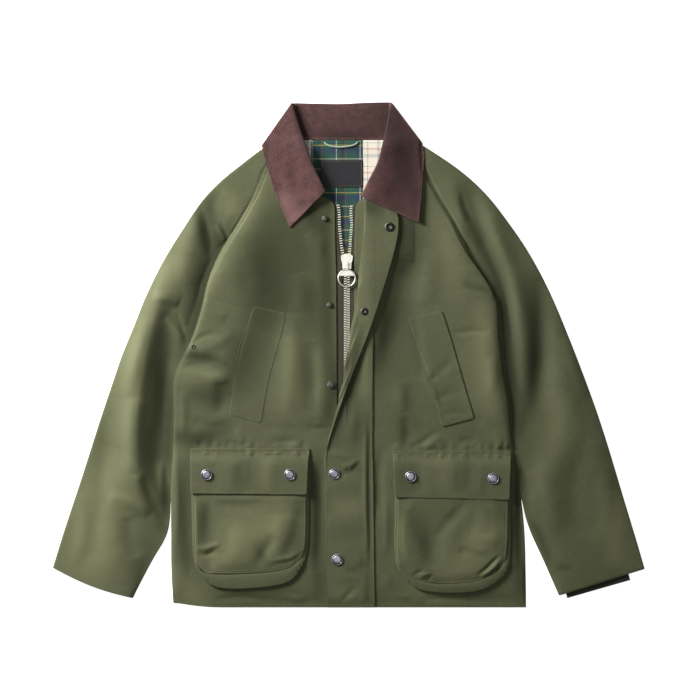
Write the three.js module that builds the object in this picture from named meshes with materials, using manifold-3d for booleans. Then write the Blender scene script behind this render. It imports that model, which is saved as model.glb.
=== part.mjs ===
// A waxed cotton jacket laid flat on its back, front up, collar towards +Y.
// Millimetres, +Z up. The surface it lies on is z = 0. "Right" and "left" are the wearer's,
// so the right front lies on the -X side. Each cloth piece is a thin wall through rows of points.

import * as THREE from 'three';
import { mergeVertices } from 'three/addons/utils/BufferGeometryUtils.js';
import Module from 'manifold-3d';

const wasm = await Module();
wasm.setup();

// Driving dimensions
const cloth = 1.2; // wall of the waxed cotton with its backing
const collarCloth = 1.6; // wall of the collar
const seamGap = 0.3; // space left between pieces at a seam
const backMid = cloth / 2; // middle height of what rests on the surface
const foldedEdge = backMid + cloth + seamGap; // middle height of a layer that touches the back
const frontMid = 5.6; // middle height of the fronts
const sleeveMid = 5.0; // middle height of a sleeve's upper layer
const frontTop = frontMid + cloth / 2;
const collarLift = collarCloth + seamGap; // the back rises this much over the collar's fall
const liftStart = 314; // where that rise starts, in Y
const liftEnd = 332;
const neckY = 343; // neck seam at the back
const hemY = -405;
const zipX = -3;
const flapMid = 7.4; // middle height of the storm flap's lower layer
const neckClearance = 0.9; // from the fronts' edge to the collar's stand
const hemOpening = 0.4; // space between front and back at the hem
const hemCurveRise = 7; // how far the right front's hem curves up at its side
const hemCurveStart = 225; // distance from the middle at which it starts
const hemCurveWidth = 55;
const hemCurveHeight = 90; // the curve fades away over this height
const seamRiseStart = 110; // above this Y the sleeve seam rises from the back to the upper layer
const seamRiseLength = 110;
const sideRoll = 9; // width over which a front bends down to its side edge
const shoulderRoll = 26; // the same along the shoulder
const shoulderRollStart = 100; // where the one turns into the other, in Y
const frontFoldsStart = 95; // the fronts' largest folds lie above this Y
const frontFoldsFade = 30;
const cuffBow = 6; // how far the right cuff's edge bows out
const cuffSlope = 10; // width over which a sleeve bends down to its inner edge at the cuff
const sideSlope = 45; // the same beside the body
const shoulderSlope = 20; // and along the shoulder
const sleeveEdgeFade = 14; // a sleeve's folds fade away over this width at its outer edge

const colours = {
  cotton: 0x5b6045,
  cottonInside: 0x666b4c,
  corduroy: 0x5a4442,
  lining: 0x2f4a40,
  label: 0x1c1b1d,
  loop: 0xa9b8a4,
  tape: 0x51503d,
  zipMetal: 0xb9b6a2,
  snapMetal: 0x85868c,
  knit: 0x33342a,
};

// The line where the body meets the sleeves: raglan seam, underarm, then the body's side.
// Columns: y, then x on the right and on the left side.
const bodyEdge = [
  { y: 338, right: -104, left: 98 },
  { y: 297, right: -134, left: 120 },
  { y: 254, right: -151, left: 144 },
  { y: 213, right: -174, left: 168 },
  { y: 162, right: -206, left: 194 },
  { y: 110, right: -227, left: 228 },
  { y: 84, right: -232, left: 240 },
  { y: 28, right: -249, left: 243 },
  { y: -34, right: -278, left: 250 },
  { y: -75, right: -279, left: 258 },
  { y: -137, right: -279, left: 263 },
  { y: -207, right: -284, left: 273 },
  { y: -278, right: -284, left: 281 },
  { y: -340, right: -284, left: 283 },
  { y: -405, right: -281, left: 284 },
];

// The inner edge of each front along the zip, up to where the collar's neck seam begins.
const frontEdge = [
  { y: -405, right: -18, left: 9 },
  { y: 0, right: -19, left: 9 },
  { y: 130, right: -20, left: 9 },
  { y: 205, right: -22, left: 10 },
  { y: 241, right: -22, left: 12 },
  { y: 249, right: -33, left: 21 },
];

// Sections of each sleeve from cuff to neck, across its width.
// inner is a point on the sleeve's own edge, or null where that edge follows bodyEdge at innerY.
const sleeveSections = {
  right: [
    { outerX: -474, outerY: -341, innerX: -345, innerY: -390 },
    { outerX: -460, outerY: -295, innerX: -330, innerY: -360 },
    { outerX: -444, outerY: -246, innerX: -309, innerY: -321 },
    { outerX: -428, outerY: -198, innerX: -288, innerY: -284 },
    { outerX: -412, outerY: -148, innerX: null, innerY: -232 },
    { outerX: -396, outerY: -98, innerX: null, innerY: -178 },
    { outerX: -379, outerY: -48, innerX: null, innerY: -124 },
    { outerX: -362, outerY: 2, innerX: null, innerY: -72 },
    { outerX: -345, outerY: 42, innerX: null, innerY: -30 },
    { outerX: -329, outerY: 84, innerX: null, innerY: 4 },
    { outerX: -309, outerY: 127, innerX: null, innerY: 38 },
    { outerX: -287, outerY: 167, innerX: null, innerY: 72 },
    { outerX: -262, outerY: 206, innerX: null, innerY: 108 },
    { outerX: -236, outerY: 245, innerX: null, innerY: 150 },
    { outerX: -206, outerY: 277, innerX: null, innerY: 196 },
    { outerX: -175, outerY: 302, innerX: null, innerY: 246 },
    { outerX: -141, outerY: 328, innerX: null, innerY: 296 },
    { outerX: -104, outerY: 351, innerX: null, innerY: 337 },
  ],
  left: [
    { outerX: 474, outerY: -343, innerX: 336, innerY: -386 },
    { outerX: 461, outerY: -298, innerX: 322, innerY: -354 },
    { outerX: 447, outerY: -252, innerX: 306, innerY: -318 },
    { outerX: 432, outerY: -202, innerX: 286, innerY: -274 },
    { outerX: 417, outerY: -152, innerX: null, innerY: -226 },
    { outerX: 401, outerY: -102, innerX: null, innerY: -176 },
    { outerX: 384, outerY: -54, innerX: null, innerY: -124 },
    { outerX: 365, outerY: -4, innerX: null, innerY: -74 },
    { outerX: 346, outerY: 44, innerX: null, innerY: -26 },
    { outerX: 327, outerY: 89, innerX: null, innerY: 20 },
    { outerX: 306, outerY: 132, innerX: null, innerY: 62 },
    { outerX: 281, outerY: 175, innerX: null, innerY: 100 },
    { outerX: 253, outerY: 215, innerX: null, innerY: 134 },
    { outerX: 226, outerY: 250, innerX: null, innerY: 168 },
    { outerX: 195, outerY: 281, innerX: null, innerY: 210 },
    { outerX: 163, outerY: 306, innerX: null, innerY: 252 },
    { outerX: 129, outerY: 328, innerX: null, innerY: 298 },
    { outerX: 94, outerY: 349, innerX: null, innerY: 337 },
  ],
};

// The largest folds, as soft ridges (or troughs, where height is negative) along a line.
const folds = {
  right: [
    { x1: -292, y1: 128, x2: -330, y2: 0, height: 5, width: 20 },
    { x1: -333, y1: -20, x2: -340, y2: -190, height: 6, width: 24 },
    { x1: -336, y1: -215, x2: -304, y2: -282, height: 3, width: 18 },
    { x1: -240, y1: 222, x2: -266, y2: 120, height: 4, width: 18 },
    { x1: -219, y1: 236, x2: -214, y2: 170, height: -2, width: 14 },
    { x1: -196, y1: 252, x2: -190, y2: 222, height: 2.5, width: 14 },
    { x1: -150, y1: 215, x2: -186, y2: 130, height: 2.5, width: 24 },
    { x1: -400, y1: -240, x2: -380, y2: -330, height: 2.5, width: 26 },
  ],
  left: [
    { x1: 168, y1: 268, x2: 176, y2: 226, height: 3, width: 12 },
    { x1: 190, y1: 250, x2: 226, y2: 150, height: -2, width: 12 },
    { x1: 230, y1: 215, x2: 274, y2: 60, height: 5, width: 20 },
    { x1: 280, y1: 30, x2: 281, y2: -140, height: 4, width: 15 },
    { x1: 302, y1: 80, x2: 312, y2: -60, height: -2, width: 14 },
    { x1: 335, y1: 20, x2: 368, y2: -150, height: 4, width: 28 },
    { x1: 400, y1: -150, x2: 420, y2: -280, height: 3, width: 24 },
    { x1: 150, y1: 215, x2: 186, y2: 150, height: 2.5, width: 22 },
  ],
};

// Sections of the collar from the right front end round the back to the left front end.
// edge is the fall's free edge, fold the turned-over top, seam the stand's neck seam, each in X and Y.
// turn is the angle of the fall about the stand: 0 above it, 180 beneath it. radius is that
// of the turned top, level the middle height of the stand, rise what the edge adds to it.
const collarSections = [
  { edge: [-94, 203], fold: [-36, 261], seam: [-43, 254], turn: 0, radius: 1.7, level: 5.6, rise: -1.4 },
  { edge: [-108, 235], fold: [-47, 283], seam: [-64, 272], turn: 0, radius: 1.7, level: 5.6, rise: -1.4 },
  { edge: [-121, 268], fold: [-57, 304], seam: [-76, 294], turn: 0, radius: 1.7, level: 5.6, rise: -1.4 },
  { edge: [-132, 302], fold: [-68, 334], seam: [-86, 322], turn: 0, radius: 1.7, level: 5.6, rise: -1.2 },
  { edge: [-139, 334], fold: [-91, 403], seam: [-97, 346], turn: 0, radius: 1.7, level: 5.6, rise: -0.8 },
  { edge: [-139, 334], fold: [-91, 403], seam: [-97, 346], turn: 45, radius: 1.7, level: 4.9, rise: -0.4 },
  { edge: [-139, 334], fold: [-91, 403], seam: [-97, 346], turn: 90, radius: 1.6, level: 4.4, rise: -0.3 },
  { edge: [-139, 334], fold: [-91, 403], seam: [-97, 346], turn: 135, radius: 1.4, level: 3.9, rise: 0 },
  { edge: [-135, 335], fold: [-88, 403], seam: [-94, 344], turn: 180, radius: 1.3, level: 3.4, rise: 0 },
  { edge: [-70, 336], fold: [-48, 402], seam: [-52, 344], turn: 180, radius: 1.3, level: 3.4, rise: 0 },
  { edge: [-11, 336], fold: [-11, 401], seam: [-11, 344], turn: 180, radius: 1.3, level: 3.4, rise: 0 },
  { edge: [48, 336], fold: [28, 404], seam: [31, 344], turn: 180, radius: 1.3, level: 3.4, rise: 0 },
  { edge: [113, 339], fold: [65, 404], seam: [76, 344], turn: 180, radius: 1.3, level: 3.4, rise: 0 },
  { edge: [117, 338], fold: [68, 404], seam: [80, 346], turn: 135, radius: 1.4, level: 3.9, rise: 0 },
  { edge: [117, 338], fold: [68, 404], seam: [80, 346], turn: 90, radius: 1.6, level: 4.4, rise: -0.3 },
  { edge: [117, 338], fold: [68, 404], seam: [80, 346], turn: 45, radius: 1.7, level: 4.9, rise: -0.4 },
  { edge: [118, 338], fold: [68, 404], seam: [80, 346], turn: 0, radius: 1.7, level: 5.6, rise: -0.8 },
  { edge: [121, 318], fold: [56, 346], seam: [76, 322], turn: 0, radius: 1.7, level: 5.6, rise: -1.2 },
  { edge: [119, 288], fold: [46, 306], seam: [63, 294], turn: 0, radius: 2.0, level: 5.6, rise: -1.0 },
  { edge: [116, 249], fold: [30, 276], seam: [51, 270], turn: 0, radius: 2.8, level: 5.6, rise: -0.6 },
  { edge: [112, 210], fold: [19, 253], seam: [28, 252], turn: 0, radius: 3.5, level: 5.6, rise: 0 },
];

// Rows of the storm flap: seam edge, rolled edge and free edge in X, and the roll's radius.
const flapRows = [
  { y: -405, seam: 42, roll: -36, free: -36, radius: 1.7 },
  { y: -262, seam: 40, roll: -37, free: -37, radius: 1.7 },
  { y: -198, seam: 39, roll: -39, free: -39, radius: 1.7 },
  { y: -168, seam: 38, roll: -39, free: -36, radius: 1.7 },
  { y: -108, seam: 38, roll: -26, free: -20, radius: 2 },
  { y: -66, seam: 38, roll: -16, free: -7, radius: 2.4 },
  { y: -20, seam: 38, roll: -9, free: 10, radius: 2.6 },
  { y: 39, seam: 39, roll: 0, free: 34, radius: 2.4 },
  { y: 88, seam: 41, roll: 11, free: 50, radius: 2.2 },
  { y: 154, seam: 45, roll: 18, free: 70, radius: 1.8 },
  { y: 197, seam: 48, roll: 21, free: 78, radius: 1.6 },
  { y: 252, seam: 50, roll: 24, free: 80, radius: 1.6 },
];
const flapTop = flapRows[flapRows.length - 1].y;
const flapSlantStart = 150; // above this the flap's rows slant down towards its free corner
const flapSlantFrom = 24; // X at which they start to slant
const flapSlant = 0.36;
const flapCorner = 14; // radius of the rounded free corner
const flapCornerStart = 200; // the corner's rounding takes up the rows above this

// Bellows pockets: the face's edge and the gusset's edge on the front, from the top round.
const pocketSections = {
  right: [
    { faceX: -248, faceY: -176, baseX: -252, baseY: -176 },
    { faceX: -247, faceY: -240, baseX: -251, baseY: -240 },
    { faceX: -245, faceY: -316, baseX: -249, baseY: -320 },
    { faceX: -240, faceY: -338, baseX: -240, baseY: -346 },
    { faceX: -227, faceY: -350, baseX: -216, baseY: -372 },
    { faceX: -166, faceY: -350, baseX: -160, baseY: -374 },
    { faceX: -105, faceY: -344, baseX: -100, baseY: -366 },
    { faceX: -83, faceY: -332, baseX: -79, baseY: -346 },
    { faceX: -70, faceY: -308, baseX: -65, baseY: -312 },
    { faceX: -68, faceY: -240, baseX: -64, baseY: -240 },
    { faceX: -68, faceY: -176, baseX: -64, baseY: -176 },
  ],
  left: [
    { faceX: 79, faceY: -180, baseX: 75, baseY: -180 },
    { faceX: 78, faceY: -250, baseX: 74, baseY: -250 },
    { faceX: 78, faceY: -322, baseX: 74, baseY: -328 },
    { faceX: 90, faceY: -347, baseX: 86, baseY: -354 },
    { faceX: 120, faceY: -363, baseX: 112, baseY: -376 },
    { faceX: 160, faceY: -366, baseX: 160, baseY: -381 },
    { faceX: 208, faceY: -361, baseX: 208, baseY: -378 },
    { faceX: 234, faceY: -347, baseX: 240, baseY: -361 },
    { faceX: 251, faceY: -326, baseX: 258, baseY: -334 },
    { faceX: 255, faceY: -250, baseX: 259, baseY: -250 },
    { faceX: 254, faceY: -180, baseX: 258, baseY: -180 },
  ],
};
const gussetMid = frontTop + seamGap + cloth / 2;
const pocketFaceBottom = 9.6; // height of the underside of a pocket's face
const flapCloth = 2.2; // a pocket flap is two cloths thick
const flapLift = 4.6; // how far it stands over the front, on the bellows
const pocketFlapTop = frontTop + 2 * seamGap + flapLift + flapCloth;

// Rows of each pocket flap from its sewn top to its free edge. lift is its height over the front.
const pocketFlapRows = {
  right: [
    { start: -253, end: -63, startY: -150, endY: -150, lift: 0 },
    { start: -253, end: -63, startY: -158, endY: -158, lift: 0 },
    { start: -253, end: -64, startY: -165, endY: -165, lift: 2.6 },
    { start: -253, end: -65, startY: -173, endY: -173, lift: flapLift },
    { start: -253, end: -66, startY: -200, endY: -200, lift: flapLift },
    { start: -253, end: -67, startY: -222, endY: -224, lift: flapLift },
  ],
  left: [
    { start: 70, end: 260, startY: -154, endY: -154, lift: 0 },
    { start: 70, end: 260, startY: -162, endY: -162, lift: 0 },
    { start: 71, end: 259, startY: -169, endY: -169, lift: 2.6 },
    { start: 71, end: 259, startY: -177, endY: -177, lift: flapLift },
    { start: 72, end: 258, startY: -204, endY: -204, lift: flapLift },
    { start: 73, end: 257, startY: -228, endY: -232, lift: flapLift },
  ],
};

// Corners of the flat pieces sewn on the fronts and on the lining
const weltCorners = {
  right: [[-153, 78], [-100, 66], [-115, 4], [-128, -32], [-140, -110], [-192, -96], [-180, -31], [-172, 8]],
  left: [[149, 70], [95, 58], [113, 3], [131, -36], [148, -116], [201, -102], [185, -51], [164, 24]],
};
const labelCorners = [[-44, 311], [22, 311], [22, 268], [-44, 268]];

// Press studs: caps on top of flaps, studs on the right front, sockets on the turned flap
const snaps = [
  { name: 'snap_cap_right_outer', x: -227, y: -192, radius: 9.5, height: 3.6, base: 'pocketFlap' },
  { name: 'snap_cap_right_inner', x: -94, y: -192, radius: 9.5, height: 3.6, base: 'pocketFlap' },
  { name: 'snap_cap_left_inner', x: 99, y: -195, radius: 9.5, height: 3.6, base: 'pocketFlap' },
  { name: 'snap_cap_left_outer', x: 231, y: -198, radius: 9.5, height: 3.6, base: 'pocketFlap' },
  { name: 'snap_cap_flap_upper', x: -23, y: -191, radius: 9.2, height: 3.6, base: 'stormFlap' },
  { name: 'snap_cap_flap_lower', x: -18, y: -328, radius: 9.6, height: 3.6, base: 'stormFlap' },
  { name: 'snap_stud_neck', x: -38, y: 217, radius: 5.4, height: 3.4, base: 'front' },
  { name: 'snap_stud_chest', x: -30, y: 79, radius: 5.4, height: 3.4, base: 'front' },
  { name: 'snap_stud_waist', x: -27.5, y: -49, radius: 7.2, height: 3.4, base: 'front' },
  { name: 'snap_socket_neck', x: 65, y: 204, radius: 8, height: 2.6, base: 'turnedFlap' },
  { name: 'snap_socket_chest', x: 25, y: 69, radius: 6.4, height: 2.6, base: 'turnedFlap' },
];
const snapSides = 14;
const snapRim = 0.4; // the straight rim's share of the height
const snapFoot = 0.94; // the foot's share of the radius
const eyeletPlace = { x: -248, y: 12, radius: 2.6, wire: 0.8 }; // in the right front under the arm
const labelThickness = 0.8;

function smooth(t) {
  const c = Math.min(Math.max(t, 0), 1);
  return c * c * (3 - 2 * c);
}

function mix(a, b, t) {
  return a + (b - a) * t;
}

// The value of one column of a table at a value of its key column, on a smooth curve.
function column(table, key, name, at) {
  const rows = table[0][key] < table[table.length - 1][key] ? table : [...table].reverse();
  let i = 0;
  while (i < rows.length - 2 && rows[i + 1][key] < at) i += 1;
  const slope = (j) => {
    const a = rows[Math.max(j - 1, 0)];
    const b = rows[Math.min(j + 1, rows.length - 1)];
    return (b[name] - a[name]) / (b[key] - a[key]);
  };
  const span = rows[i + 1][key] - rows[i][key];
  const t = Math.min(Math.max((at - rows[i][key]) / span, 0), 1);
  const t2 = t * t;
  const t3 = t2 * t;
  return (2 * t3 - 3 * t2 + 1) * rows[i][name] + (t3 - 2 * t2 + t) * span * slope(i)
    + (3 * t2 - 2 * t3) * rows[i + 1][name] + (t3 - t2) * span * slope(i + 1);
}

function foldHeight(list, x, y) {
  let sum = 0;
  for (const f of list) {
    const dx = f.x2 - f.x1;
    const dy = f.y2 - f.y1;
    const length = Math.hypot(dx, dy);
    const along = ((x - f.x1) * dx + (y - f.y1) * dy) / length;
    const across = ((x - f.x1) * dy - (y - f.y1) * dx) / length;
    const past = Math.max(-along, along - length, 0);
    sum += f.height * Math.exp(-(across * across + past * past) / (f.width * f.width));
  }
  return sum;
}

// How far the back's cloth rises over the collar's fall, which lies beneath it at the neck.
function neckLift(y) {
  return collarLift * smooth((y - liftStart) / (liftEnd - liftStart));
}

// Middle height of the seam between the body's and a sleeve's upper layers.
function seamHeight(y) {
  return mix(foldedEdge, sleeveMid + 0.3, smooth((y - seamRiseStart) / seamRiseLength));
}

function closedMesh(name, positions, triangles, colour, rough, metal) {
  let volume = 0;
  const p = (i) => new THREE.Vector3().fromArray(positions, 3 * i);
  for (let i = 0; i < triangles.length; i += 3) {
    const a = p(triangles[i]);
    volume += a.dot(p(triangles[i + 1]).cross(p(triangles[i + 2])));
  }
  const faces = [...triangles];
  if (volume < 0) faces.reverse();
  const geometry = new THREE.BufferGeometry();
  geometry.setAttribute('position', new THREE.Float32BufferAttribute(positions, 3));
  geometry.setIndex(faces);
  return meshOf(name, geometry, colour, rough, metal);
}

function meshOf(name, geometry, colour, rough = 0.75, metal = 0) {
  const material = new THREE.MeshStandardMaterial({ color: colour, roughness: rough, metalness: metal });
  const mesh = new THREE.Mesh(geometry, material);
  mesh.name = name;
  return mesh;
}

// A closed wall around a sheet given by rows of points, all rows with as many points.
function sheet(name, rows, wall, colour, rough) {
  const rowCount = rows.length;
  const pointCount = rows[0].length;
  const at = (i, j) => rows[Math.min(Math.max(i, 0), rowCount - 1)][Math.min(Math.max(j, 0), pointCount - 1)];
  const positions = [];
  for (const side of [1, -1]) {
    for (let i = 0; i < rowCount; i += 1) {
      for (let j = 0; j < pointCount; j += 1) {
        const along = at(i + 1, j).clone().sub(at(i - 1, j));
        const across = at(i, j + 1).clone().sub(at(i, j - 1));
        const normal = across.cross(along).normalize();
        positions.push(...at(i, j).clone().addScaledVector(normal, side * wall / 2).toArray());
      }
    }
  }
  const below = rowCount * pointCount;
  const id = (i, j) => i * pointCount + j;
  const triangles = [];
  for (let i = 0; i < rowCount - 1; i += 1) {
    for (let j = 0; j < pointCount - 1; j += 1) {
      const [a, b, c, d] = [id(i, j), id(i, j + 1), id(i + 1, j + 1), id(i + 1, j)];
      triangles.push(a, b, c, a, c, d);
      triangles.push(below + a, below + c, below + b, below + a, below + d, below + c);
    }
  }
  const rim = [];
  for (let j = 0; j < pointCount - 1; j += 1) rim.push(id(0, j));
  for (let i = 0; i < rowCount - 1; i += 1) rim.push(id(i, pointCount - 1));
  for (let j = pointCount - 1; j > 0; j -= 1) rim.push(id(rowCount - 1, j));
  for (let i = rowCount - 1; i > 0; i -= 1) rim.push(id(i, 0));
  rim.forEach((a, k) => {
    const b = rim[(k + 1) % rim.length];
    triangles.push(a, below + a, below + b, a, below + b, b);
  });
  return closedMesh(name, positions, triangles, colour, rough, 0);
}

// A flat plate with the given corners, from height z up.
function plate(name, corners, z, thickness, colour, rough) {
  const shape = new THREE.Shape(corners.map(([x, y]) => new THREE.Vector2(x, y)));
  const geometry = new THREE.ExtrudeGeometry(shape, { depth: thickness, bevelEnabled: false });
  geometry.translate(0, 0, z);
  return meshOf(name, geometry, colour, rough);
}

function range(count) {
  return Array.from({ length: count + 1 }, (_, i) => i / count);
}

// Rows in Y that the fronts, the back and the storm flap share near the hem.
const hemRows = [hemY, -396, -384, -368];

// Further rows of the body's side, up to where the sleeves begin to lie against it.
const sideRows = [-340, -309, -278, -254];

// How much the upper layer sinks towards the hem, where nothing holds it off the back.
function hemDrop(y) {
  return (frontMid - foldedEdge - hemOpening) * (1 - smooth((y - hemY) / (hemRows[3] - hemY)));
}

// The hem of the right front curves up a little at the side.
function hemCurve(x, y) {
  const toSide = (-x - hemCurveStart) / hemCurveWidth;
  return hemCurveRise * smooth(toSide) * (1 - smooth((y - hemY) / hemCurveHeight));
}

function frontHeight(side, x, y, toEdge) {
  const roll = mix(sideRoll, shoulderRoll, smooth((y - shoulderRollStart) / seamRiseLength));
  const inside = Math.min(toEdge / roll, 1);
  const folded = foldHeight(folds[side], x, y) * smooth((y - frontFoldsStart) / frontFoldsFade);
  const plateau = frontMid - hemDrop(y) + folded;
  const low = Math.min(seamHeight(y), plateau);
  return mix(low, plateau, Math.sqrt(1 - (1 - inside) ** 2));
}

// The value of y's place on a line of points, each with x and y, straight between them.
function lineX(points, y) {
  const line = points[0].y < points[points.length - 1].y ? points : [...points].reverse();
  let i = 0;
  while (i < line.length - 2 && line[i + 1].y < y) i += 1;
  const t = (y - line[i].y) / (line[i + 1].y - line[i].y);
  return mix(line[i].x, line[i + 1].x, t);
}

// Sorted heights without those that lie closer together than a cloth's wall.
function sorted(heights) {
  const list = [...heights].sort((a, b) => a - b);
  return list.filter((y, i) => i === 0 || y - list[i - 1] > cloth);
}

// Inner points of a sleeve's rows, from cuff to neck. From seamStart on they are the body's edge.
const rowsPerSection = 2;
const seamStart = 4 * rowsPerSection;

function innerPoints(side) {
  const sections = sleeveSections[side].map((s, index) => ({
    index,
    x: s.innerX ?? column(bodyEdge, 'y', side, s.innerY),
    y: s.innerY,
  }));
  const points = [];
  for (let k = 0; k <= (sections.length - 1) * rowsPerSection; k += 1) {
    const y = column(sections, 'index', 'y', k / rowsPerSection);
    const free = column(sections, 'index', 'x', k / rowsPerSection);
    points.push({ x: k < seamStart ? free : column(bodyEdge, 'y', side, y), y });
  }
  return points;
}

// The body's edge on one side, from the hem to the neck seam.
function bodyLine(side) {
  const lower = [...hemRows, ...sideRows];
  return [...lower.map((y) => ({ x: column(bodyEdge, 'y', side, y), y })),
    ...innerPoints(side).slice(seamStart)];
}

// A front's inner edge, from the hem along the zip and then along the collar's stand.
function innerLine(side) {
  const outward = side === 'right' ? -1 : 1;
  const wing = collarSections.filter((s) => s.turn === 0 && Math.sign(s.seam[0]) === outward);
  const neck = wing.map((s) => ({ x: s.seam[0] + outward * neckClearance, y: s.seam[1] }));
  const zip = frontEdge.map((s) => ({ x: s[side], y: s.y }));
  return [...zip, ...neck.sort((a, b) => a.y - b.y)];
}

const topY = 337; // where the fronts' narrow ends meet the neck seam

function front(side) {
  const outerLine = bodyLine(side);
  const edgeLine = innerLine(side);
  const heights = sorted([...outerLine, ...edgeLine].map((p) => p.y).filter((y) => y <= topY));
  const shares = [0, 0.12, 0.25, 0.38, 0.51, 0.64, 0.77, 0.88, 0.95, 0.983, 1];
  const rows = heights.map((y) => {
    const inner = lineX(edgeLine, y);
    const outer = lineX(outerLine, y);
    return shares.map((share) => {
      const x = mix(inner, outer, share);
      const toEdge = Math.abs(outer - x);
      return new THREE.Vector3(x, y + hemCurve(x, y), frontHeight(side, x, y, toEdge));
    });
  });
  return sheet(`front_${side}`, rows, cloth, colours.cotton);
}

function back() {
  const right = bodyLine('right');
  const left = bodyLine('left');
  const shoulderIn = 9;
  right.push({ x: right[right.length - 1].x + shoulderIn, y: neckY });
  left.push({ x: left[left.length - 1].x - shoulderIn, y: neckY });
  const rows = right.map((a, k) => range(6).map((t) => {
    const x = mix(a.x, left[k].x, t);
    const y = mix(a.y, left[k].y, t);
    return new THREE.Vector3(x, y + hemCurve(x, y), backMid + neckLift(y));
  }));
  return sheet('back', rows, cloth, colours.cotton);
}

const outerFoldAngles = [54, 18, -18, -54]; // points round a flattened tube's outer fold, in degrees
const lowerShares = [1, 0.6, 0.1, 0]; // places of the points across its lower layer

// Points across a flattened tube: upper layer from the inner edge, round the outer fold, and back.
function tubeSection(inner, outer, upper, lower, shares, wall) {
  const direction = outer.clone().sub(inner);
  const width = direction.length() - wall / 2;
  direction.normalize();
  const bottom = lower(outer);
  const radius = (upper(1, inner.clone().addScaledVector(direction, width)) - bottom) / 2;
  const reach = width - radius;
  const place = (along, z) => new THREE.Vector3(
    inner.x + direction.x * along, inner.y + direction.y * along, z);
  const points = shares.map((share) => {
    const p = place(reach * share, 0);
    p.z = upper(share, p);
    return p;
  });
  for (const angle of outerFoldAngles.map(THREE.MathUtils.degToRad)) {
    points.push(place(reach + radius * Math.cos(angle), bottom + radius + radius * Math.sin(angle)));
  }
  for (const share of lowerShares) {
    const p = place(reach * share, 0);
    p.z = lower(p);
    points.push(p);
  }
  return points;
}

function sleeve(side) {
  const outward = side === 'right' ? -1 : 1;
  const sections = sleeveSections[side].map((s, index) => ({ index, ...s }));
  const shares = [0, 0.06, 0.16, 0.28, 0.4, 0.52, 0.64, 0.76, 0.88, 1];
  const rows = innerPoints(side).map((point, k) => {
    const at = k / rowsPerSection;
    const outer = new THREE.Vector2(
      column(sections, 'index', 'outerX', at), column(sections, 'index', 'outerY', at));
    const inner = new THREE.Vector2(point.x + outward * 2 * seamGap, point.y);
    const width = outer.distanceTo(inner);
    const bow = side === 'right' ? cuffBow * (1 - smooth(at / 2)) : 0;
    const upperSlope = mix(sideSlope, shoulderSlope, smooth((inner.y - seamRiseStart) / seamRiseLength));
    const slope = mix(cuffSlope, upperSlope, smooth(at / 2.5));
    const upper = (share, p) => {
      const inside = smooth(share * width / slope);
      const amplitude = inside * smooth((1 - share) * width / sleeveEdgeFade);
      const base = mix(Math.min(seamHeight(inner.y), sleeveMid), sleeveMid, inside);
      return base + amplitude * foldHeight(folds[side], p.x, p.y);
    };
    const lower = (p) => backMid + neckLift(p.y);
    const row = tubeSection(inner, outer, upper, lower, shares, cloth);
    for (const p of row) {
      const share = Math.hypot(p.x - inner.x, p.y - inner.y) / width;
      p.y -= bow * Math.sin(Math.PI * Math.min(share, 1));
    }
    return row;
  });
  return sheet(`sleeve_${side}`, rows, cloth, colours.cotton);
}

// The knitted inner cuff: a flattened band inside the left sleeve that shows past its end.
const knitWall = 0.9;
const knitDepth = 26; // from its free end into the sleeve
const knitEnd = { inner: [350, -390], outer: [451, -361] }; // its free end's two edges
const knitWay = [-0.28, 0.96]; // from there into the sleeve
const knitShares = [0, 0.05, 0.12, 0.4, 0.7, 0.96, 1];

function stormCuff() {
  const lowest = cloth + seamGap + knitWall / 2;
  const highest = lowest + 2 * knitWall;
  const atEdge = lowest + knitWall + seamGap;
  const rows = range(4).map((t) => {
    const shift = new THREE.Vector2(...knitWay).multiplyScalar(knitDepth * t);
    const inner = new THREE.Vector2(...knitEnd.inner).add(shift);
    const outer = new THREE.Vector2(...knitEnd.outer).add(shift);
    const upper = (share) => mix(atEdge, highest, smooth(share / 0.1));
    return tubeSection(inner, outer, upper, () => lowest, knitShares, knitWall);
  });
  return sheet('storm_cuff_left', rows, knitWall, colours.knit, 0.95);
}

// Points of one collar section, from the fall's free edge over the turned top to the neck seam.
function collarSection(s) {
  const edge = new THREE.Vector3(...s.edge, 0);
  const fold = new THREE.Vector3(...s.fold, 0);
  const seam = new THREE.Vector3(...s.seam, 0);
  const fallWay = edge.clone().sub(fold).normalize();
  const seamWay = seam.clone().sub(fold).normalize();
  const sideways = new THREE.Vector3(0, 1, 0).cross(new THREE.Vector3(0, 0, 1));
  sideways.multiplyScalar(s.fold[0] < 0 ? -1 : 1);
  const outward = new THREE.Vector3(-fallWay.y, fallWay.x, 0);
  if (outward.dot(sideways) < 0) outward.negate();
  const turn = THREE.MathUtils.degToRad(s.turn);
  const offset = outward.multiplyScalar(Math.sin(turn)).add(new THREE.Vector3(0, 0, Math.cos(turn)));
  const inset = s.radius + collarCloth / 2;
  const centre = fold.clone().addScaledVector(fallWay, inset);
  centre.addScaledVector(offset.clone().setZ(0), -inset);
  centre.z = s.level + s.radius * Math.cos(turn);
  const fallStart = centre.clone().addScaledVector(offset, s.radius);
  const fallEnd = edge.clone().setZ(fallStart.z + s.rise);
  const standStart = centre.clone().addScaledVector(offset, -s.radius);
  const standEnd = seam.clone().setZ(s.level);
  const points = [];
  for (const t of [0, 0.05, 0.35, 0.65, 0.92]) points.push(fallEnd.clone().lerp(fallStart, t));
  for (const angle of [90, 45, 0, -45, -90].map(THREE.MathUtils.degToRad)) {
    const p = centre.clone().addScaledVector(fallWay, -s.radius * Math.cos(angle));
    points.push(p.addScaledVector(offset, s.radius * Math.sin(angle)));
  }
  for (const t of [0.3, 0.65, 1]) points.push(standStart.clone().lerp(standEnd, t));
  return points;
}

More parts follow.
